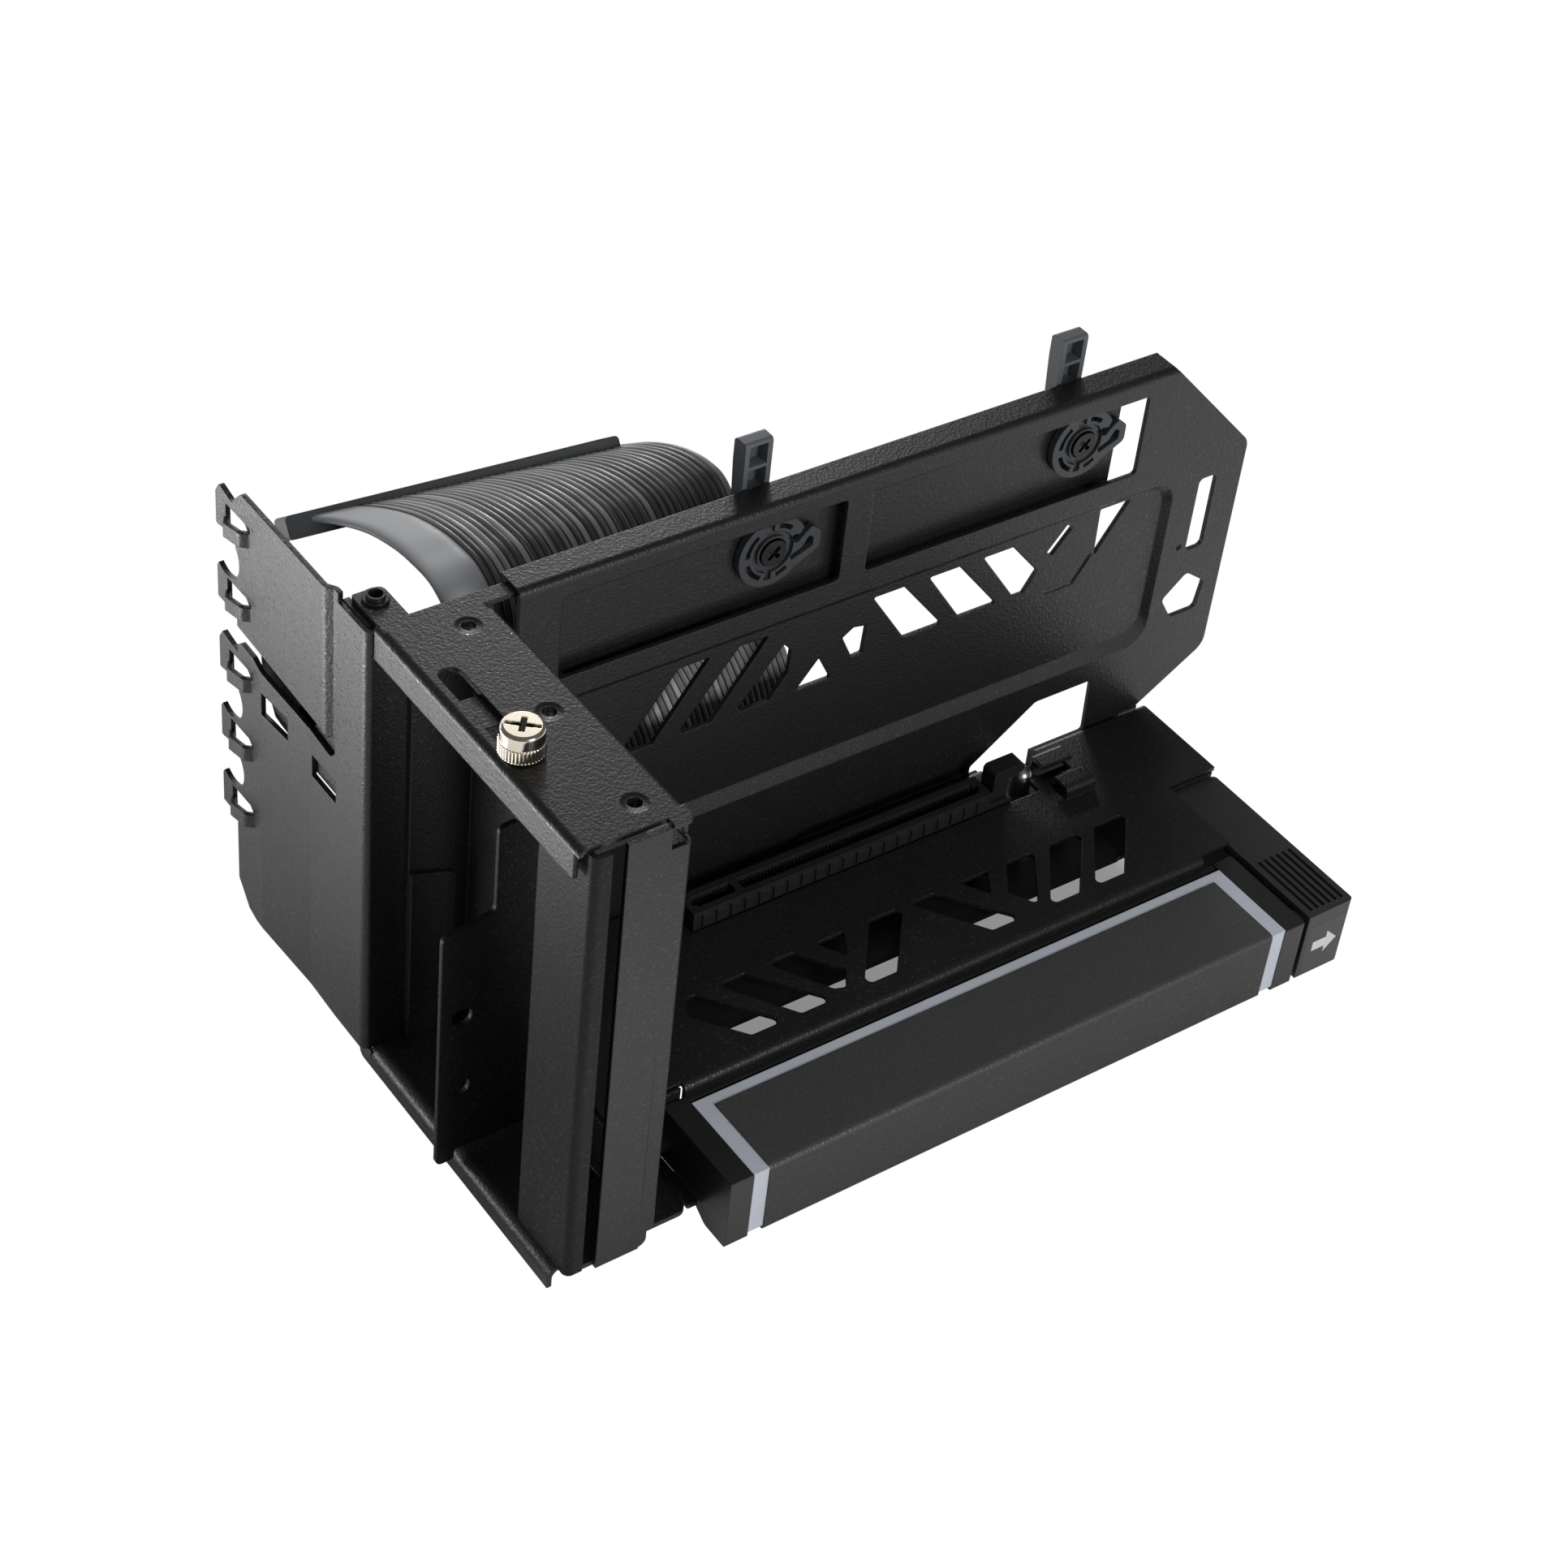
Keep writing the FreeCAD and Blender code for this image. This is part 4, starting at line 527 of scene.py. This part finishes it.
def thumbScrew():
    # radius and height of a profile turned about the axis; the lower head is fluted by a cosine of the angle,
    # the stem's radius follows a sawtooth helix, and the top is sunk where a slot or a cross lies
    s = screw
    r, seat = s["radius"], s["seat"]
    peak = seat + s["height"]
    cols = s["flutes"] * s["perFlute"]
    flank = np.array(s["flank"]) * (-1.0, 1.0) + (r, seat)
    shoulder = np.array(s["shoulder"]) * (-1.0, -1.0) + (r, peak)
    rim = np.vstack((flank, shoulder))
    rise = np.linspace(0, len(rim) - 1.001, s["rimRows"])
    rim = curve(np.column_stack((rim, np.zeros(len(rim)))), rise)[:, :2]
    crown = np.linspace(r - 1.0, 0.001, s["crownRows"])
    top = np.column_stack((crown, peak - s["crown"] + s["crown"] * (1 - (crown / r) ** 2)))
    stemRows = np.linspace(s["stemLow"], seat, s["stemRows"])
    stem = np.column_stack((np.full(len(stemRows), s["stem"]), stemRows))
    tip = np.array(((0.001, s["stemLow"]), (s["stem"] - 0.6, s["stemLow"])))
    profile = np.vstack((tip, stem, rim, top))
    angle = np.linspace(0.0, 2 * math.pi, cols, endpoint=False)
    radius = np.repeat(profile[:, :1], cols, 1)
    height = np.repeat(profile[:, 1:], cols, 1)
    fluted = np.clip((height - seat - 0.2) / 0.4, 0, 1) * np.clip((seat + 3.6 - height) / 0.3, 0, 1)
    radius -= (fluted * (radius > r - 0.7)) * s["fluteDepth"] * (0.5 - 0.5 * np.cos(s["flutes"] * angle)) ** 1.5
    row = np.arange(len(profile))[:, None]
    onStem = (row >= len(tip)) & (row < len(tip) + len(stem))
    phase = (height / s["thread"] - angle / (2 * math.pi)) % 1.0
    radius -= onStem * s["threadDepth"] * np.abs(2 * phase - 1)
    x, y = radius * np.cos(angle), radius * np.sin(angle)
    turn = math.radians(s["turn"])
    u, v = x * math.cos(turn) + y * math.sin(turn), y * math.cos(turn) - x * math.sin(turn)

    def groove(along, side, reach, width):
        # 1 within the reach and the width, falling to 0 over the bevel
        ends = np.clip((reach - np.abs(along)) / s["bevel"], 0, 1)
        return ends * np.clip((width - np.abs(side)) / s["bevel"], 0, 1)

    arms = np.maximum(groove(u, v, s["cross"], s["crossWidth"]), groove(v, u, s["cross"], s["crossWidth"]))
    arms = np.clip(arms * (1.0 - s["crossFall"] * np.hypot(u, v) / s["cross"]), 0, 1)
    sunk = np.maximum(groove(u, v, s["slot"], s["slotWidth"]) * s["slotShare"], arms) * s["recess"]
    height = height - sunk * (height > peak - 0.4)
    points = np.stack((x + s["x"], y + s["y"], height + topLevel), -1)
    # pit: where the screw's recess is painted darker as painted shade
    pit = {"centre": (s["x"], s["y"]), "level": topLevel + peak - s["pitBelow"], "radius": s["pitRadius"],
           "soft": s["pitSoft"]}
    addPiece("thumbScrewHead", points, gridFaces(len(profile), cols), "clamp",
             brightMetal("screwNickel", **nickel, pit=pit), None, ("thumb_screw",))


thumbScrew()
print("thumb screw")

# path: distance from the socket's middle and height from its top
contact = {"keyX": 90.0, "below": (-11.0, -1.4), "above": (2.0, 71.5), "pitch": 1.0, "socketY": 63.5, "top": 28.2,
           "width": 0.4, "thick": 0.2,
           "path": ((1.62, -6.9), (1.62, -4.6), (1.3, -3.2), (1.12, -2.2), (1.3, -1.3), (1.6, -0.62))}


def socketContacts():
    # a flat strip bent along a path: it stands in its cavity, bows towards the slot and turns its tip back;
    # one strip is copied along the socket at one pitch, and mirrored to the other side
    c = contact
    path = np.array(c["path"])
    step = np.gradient(path, axis=0)
    side = np.column_stack((step[:, 1], -step[:, 0])) / np.linalg.norm(step, axis=1)[:, None]
    near, far = path + side * c["thick"] / 2, path - side * c["thick"] / 2
    half = c["width"] / 2
    corners = ((near, -half), (near, half), (far, half), (far, -half))
    ring = np.stack([np.insert(edge, 0, across, 1) for edge, across in corners], 1).reshape(-1, 3)
    rows = [np.arange(*c[part], c["pitch"]) for part in ("below", "above")]
    places = c["keyX"] + np.concatenate(rows)
    caps = np.array(((0, 1, 2, 3), (3, 2, 1, 0))) + ((0,), (len(ring) - 4,))
    one = np.concatenate((gridFaces(len(path), 4), caps))
    points, faces = [], []
    for mirror in (-1.0, 1.0):
        strips = np.repeat(ring[None] * (1.0, mirror, 1.0), len(places), 0) + (0.0, c["socketY"], c["top"])
        strips[:, :, 0] += places[:, None]
        start = sum(len(p) for p in points) + len(ring) * np.arange(len(places))
        points.append(strips.reshape(-1, 3))
        faces.append(((one if mirror > 0 else one[:, ::-1])[None] + start[:, None, None]).reshape(-1, 4))
    addPiece("goldContacts", np.concatenate(points), np.concatenate(faces), "mount",
             materials["contact_gold"], None, ("socket_contacts",))


socketContacts()
print("contacts")

backing = {"front": -0.22, "thick": 1.6,
           "low": ((81.0, 71.6), (105.0, 71.6), (116.0, 72.9), (120.0, 73.2), (122.4, 73.6), (123.6, 75.6),
                   (126.4, 79.6), (128.2, 82.2), (128.6, 86.0)),
           "high": ((81.0, 128.0), (91.8, 128.0), (92.2, 96.0), (105.0, 96.0), (115.0, 96.0), (122.0, 96.0),
                    (126.4, 95.6), (128.2, 94.0), (128.6, 92.0))}


def flatPiece(name, ends, body="mount", slot="black_steel"):
    # faces between a first and a last outline, flat shaded
    return addPiece(name, ends, closedLoop(2, ends.shape[1]), body, materials[slot], smooth=False)


def backingPlate(front, thick, low, high):
    # straight lines between a lower and an upper edge line, given a thickness: the sheet behind the bracket's slit
    loop = np.insert(np.array(low + high[::-1]), 0, front, 1)
    return flatPiece("backingPlate", np.stack((loop, loop + (thick, 0.0, 0.0))))


plates = {
    "clampShelf": {"x": (2.4, 13.4), "y": (41.4, 51.4), "z": (126.8, 128.0), "body": "clamp"},
    "boardEdge": {"x": (184.6, 206.0), "y": (36.2, 70.6), "z": (13.9, 15.3), "slot": "board_black"},
    "gapPlate": {"x": (207.0, 225.0), "y": (44.0, 50.0), "z": (19.4, 21.9)},
    "footStrip": {"x": (217.4, 224.0), "y": (73.45, 74.35), "z": (21.0, 22.85)},
    # the next plate is a dark sheet just behind the wall's slit, standing in for the shade seen through it
    "slitPlate": {"x": (113.0, 169.0), "y": (74.8, 75.6), "z": (22.0, 29.0)},
    "cornerStrip": {"x": (28.0, 45.2), "y": (18.8, 19.8), "z": (14.0, 22.8)},
    "wingFill": {"x": (36.7, 39.7), "y": (1.5, 18.0), "z": (4.5, 5.7)},
}
plateCorner = {"radius": 0.5, "share": 0.9, "cols": 32}


def flatPlate(name, x, y, z, **rest):
    # a flat bar with a rounded outline: each corner's centre plus a small circle, at a lower and an upper level
    cols = plateCorner["cols"]
    turn = np.linspace(0.0, 2 * math.pi, cols, endpoint=False) + math.pi / cols
    middle, half = np.mean((x, y), axis=1), np.ptp((x, y), axis=1) / 2
    small = min(plateCorner["radius"], plateCorner["share"] * float(min(half)))
    circle = np.column_stack((np.cos(turn), np.sin(turn)))
    ring = middle + np.sign(circle) * (half - small) + circle * small
    return flatPiece(name, np.stack([np.insert(ring, 2, level, 1) for level in z]), **rest)


backingPlate(**backing)
for name, plate in plates.items():
    flatPlate(name, **plate)
print("flat plates:", len(plates) + 1)

plug = {"left": (9.5, 135.3, 117.4), "right": (86.9, 120.6, 123.4), "tilt": -38.0, "middle": -2.7, "half": 0.8,
        "first": 3.7, "last": 75.4, "pitch": 1.0, "key": (13.4, 16.6), "reach": (17.4, 21.5), "width": 0.7,
        "sunk": 0.01, "thick": 0.035}


def plugFingers():
    # one flat bar, copied along the tongue at one pitch on both faces, then turned into the plug's own slant
    g = plug
    span = np.array(g["right"]) - np.array(g["left"])
    lean, swing = math.asin(span[2] / float(np.linalg.norm(span))), math.atan2(span[1], span[0])
    turn = np.array((Matrix.Rotation(swing, 3, "Z") @ Matrix.Rotation(-lean, 3, "Y")
                     @ Matrix.Rotation(math.radians(g["tilt"]), 3, "X")))
    places = np.arange(g["first"], g["last"], g["pitch"])
    places = places[(places < g["key"][0]) | (places > g["key"][1])]
    half, (near, far) = g["width"] / 2, g["reach"]
    square = np.array(((-half, near), (half, near), (half, far), (-half, far)))
    levels = (g["half"] - g["sunk"], g["half"] + g["thick"])
    bar = np.concatenate([np.insert(square, 2, level, 1) for level in levels])
    sides = np.column_stack((np.arange(4), (1, 2, 3, 0), (5, 6, 7, 4), (4, 5, 6, 7)))
    one = np.concatenate((((0, 3, 2, 1), (4, 5, 6, 7)), sides))
    shift = np.insert(np.zeros((len(places), 2)), 0, places, 1)
    rows = np.stack((bar, bar * (1.0, 1.0, -1.0)))[:, None] + shift[None, :, None]
    points = (rows.reshape(-1, 3) + (0.0, 0.0, g["middle"])) @ turn.T + np.array(g["left"])
    faces = np.stack((one, one[:, ::-1]))[:, None] + (8 * np.arange(2 * len(places))).reshape(2, -1, 1, 1)
    addPiece("plugFingers", points, faces.reshape(-1, 4), "mount", materials["contact_gold"])


plugFingers()
print("plug fingers")

lights = {
    "keyFront": {"at": (0.22, -1.1, 0.42), "aim": (0.04, -0.03, 0.0), "size": (0.35, 0.35), "power": 5.0},
    "sky": {"at": (0.62, 0.75, 0.86), "aim": (0.04, -0.03, 0.02), "size": (0.36, 0.36), "power": 0.55},
    "backdrop": {"at": (0.35, 1.6, 0.36), "aim": (0.05, 0.0, 0.05), "size": (2.4, 0.7), "power": 8.0},
    "backLow": {"at": (0.7, 1.0, 0.5), "aim": (0.05, -0.02, 0.02), "size": (0.16, 0.16), "power": 2.0},
    "sideLeft": {"at": (-0.125, 0.07, -0.06), "aim": (0.0, 0.07, 0.03), "size": (0.24, 0.04), "power": 0.33},
}


def areaLight(name, at, aim, size, power):
    # a soft rectangle that looks from one point to another
    data = bpy.data.lights.new(name, "AREA")
    data.shape = "RECTANGLE"
    data.size, data.size_y = size
    data.energy = power
    made = bpy.data.objects.new(name, data)
    bpy.context.scene.collection.objects.link(made)
    made.location = at
    made.rotation_euler = (Vector(aim) - Vector(at)).to_track_quat("-Z", "Y").to_euler()
    made.visible_camera = False


for name, light in lights.items():
    areaLight(name, **light)

surroundings = {"diffuse": 0.35, "glossy": 0.14}


def rayKinds(tree):
    # 1 on the camera's rays, and 1 on the rays that leave glossy surfaces
    path = tree.nodes.new("ShaderNodeLightPath")
    return Wire(tree, path.outputs["Is Camera Ray"]), Wire(tree, path.outputs["Is Glossy Ray"])


def whiteWorld(diffuse, glossy):
    # white to the camera, a dimmer even light for everything else
    world = bpy.data.worlds.new("white")
    bpy.context.scene.world = world
    world.use_nodes = True
    world.node_tree.nodes.clear()
    seen, gloss = rayKinds(world.node_tree)
    strength = diffuse + gloss * (glossy - diffuse) + seen * (1.0 - diffuse)
    shader = seen.node("ShaderNodeBackground", None, {"Color": colour(1.0), "Strength": strength})
    shader.surface("ShaderNodeOutputWorld")


whiteWorld(**surroundings)

# patches in metres, x from and to, y from and to: front keeps the shadow seen through the base's vents, with a share
# of white glow painted over it as painted light, shade and flag keep the white of the floor out of the gloss of the
# metal
floor = {"half": 4.0, "drop": 0.0003, "tone": 0.78, "front": (0.07, 0.21, -0.122, -0.07), "paintedGlow": 0.24, "soft": 0.012,
         "shade": (-0.11, 0.25, -0.16, 0.12), "fade": 0.06, "flag": (0.11, 0.36, -0.3, -0.17), "flagSoft": 0.02,
         "flagShare": 0.85}


def paleFloor(half, drop, tone, front, paintedGlow, soft, shade, fade, flag, flagSoft, flagShare):
    # a square sheet under the lowest edge: plain white away from the object, its own shadow kept under it, in the
    # front patch with a share of white glow painted over it as painted light, and, in the gloss of the metal, round
    # it
    low = frameCorner[2] - drop
    points = np.insert(half * np.array(((-1, -1), (1, -1), (1, 1), (-1, 1))), 2, low, 1)
    mesh = bpy.data.meshes.new("floor")
    mesh.from_pydata(points.tolist(), [], [(0, 1, 2, 3)])
    sheet = bpy.data.objects.new("floor", mesh)
    bpy.context.scene.collection.objects.link(sheet)
    made, at, uv = newMaterial("paleFloor")
    x, y, z = at.axes()

    def patch(box, edge):
        return x.inside(box[0], box[1], edge) * y.inside(box[2], box[3], edge)

    # the front patch: the paper's own shadow with a share of white glow painted over it as painted light
    near = patch(front, soft) * (1.0 - paintedGlow)
    shaded = x.math("MAXIMUM", patch(shade, fade), patch(flag, flagSoft) * flagShare)
    grain = at.noise(700.0, 3.0, 0.6)
    paper = at.node("ShaderNodeBsdfDiffuse", None, {"Color": grain.blend(tone * 0.98, tone)})
    glow = at.node("ShaderNodeEmission", None, {"Color": colour(1.0), "Strength": 1.0})
    seen, gloss = rayKinds(at.tree)
    white = seen * (1.0 - near) + gloss * (1.0 - shaded)
    at.node("ShaderNodeMixShader", None, {0: white, 1: paper, 2: glow}).surface()
    mesh.materials.append(made)


paleFloor(**floor)
print("floor and lights")
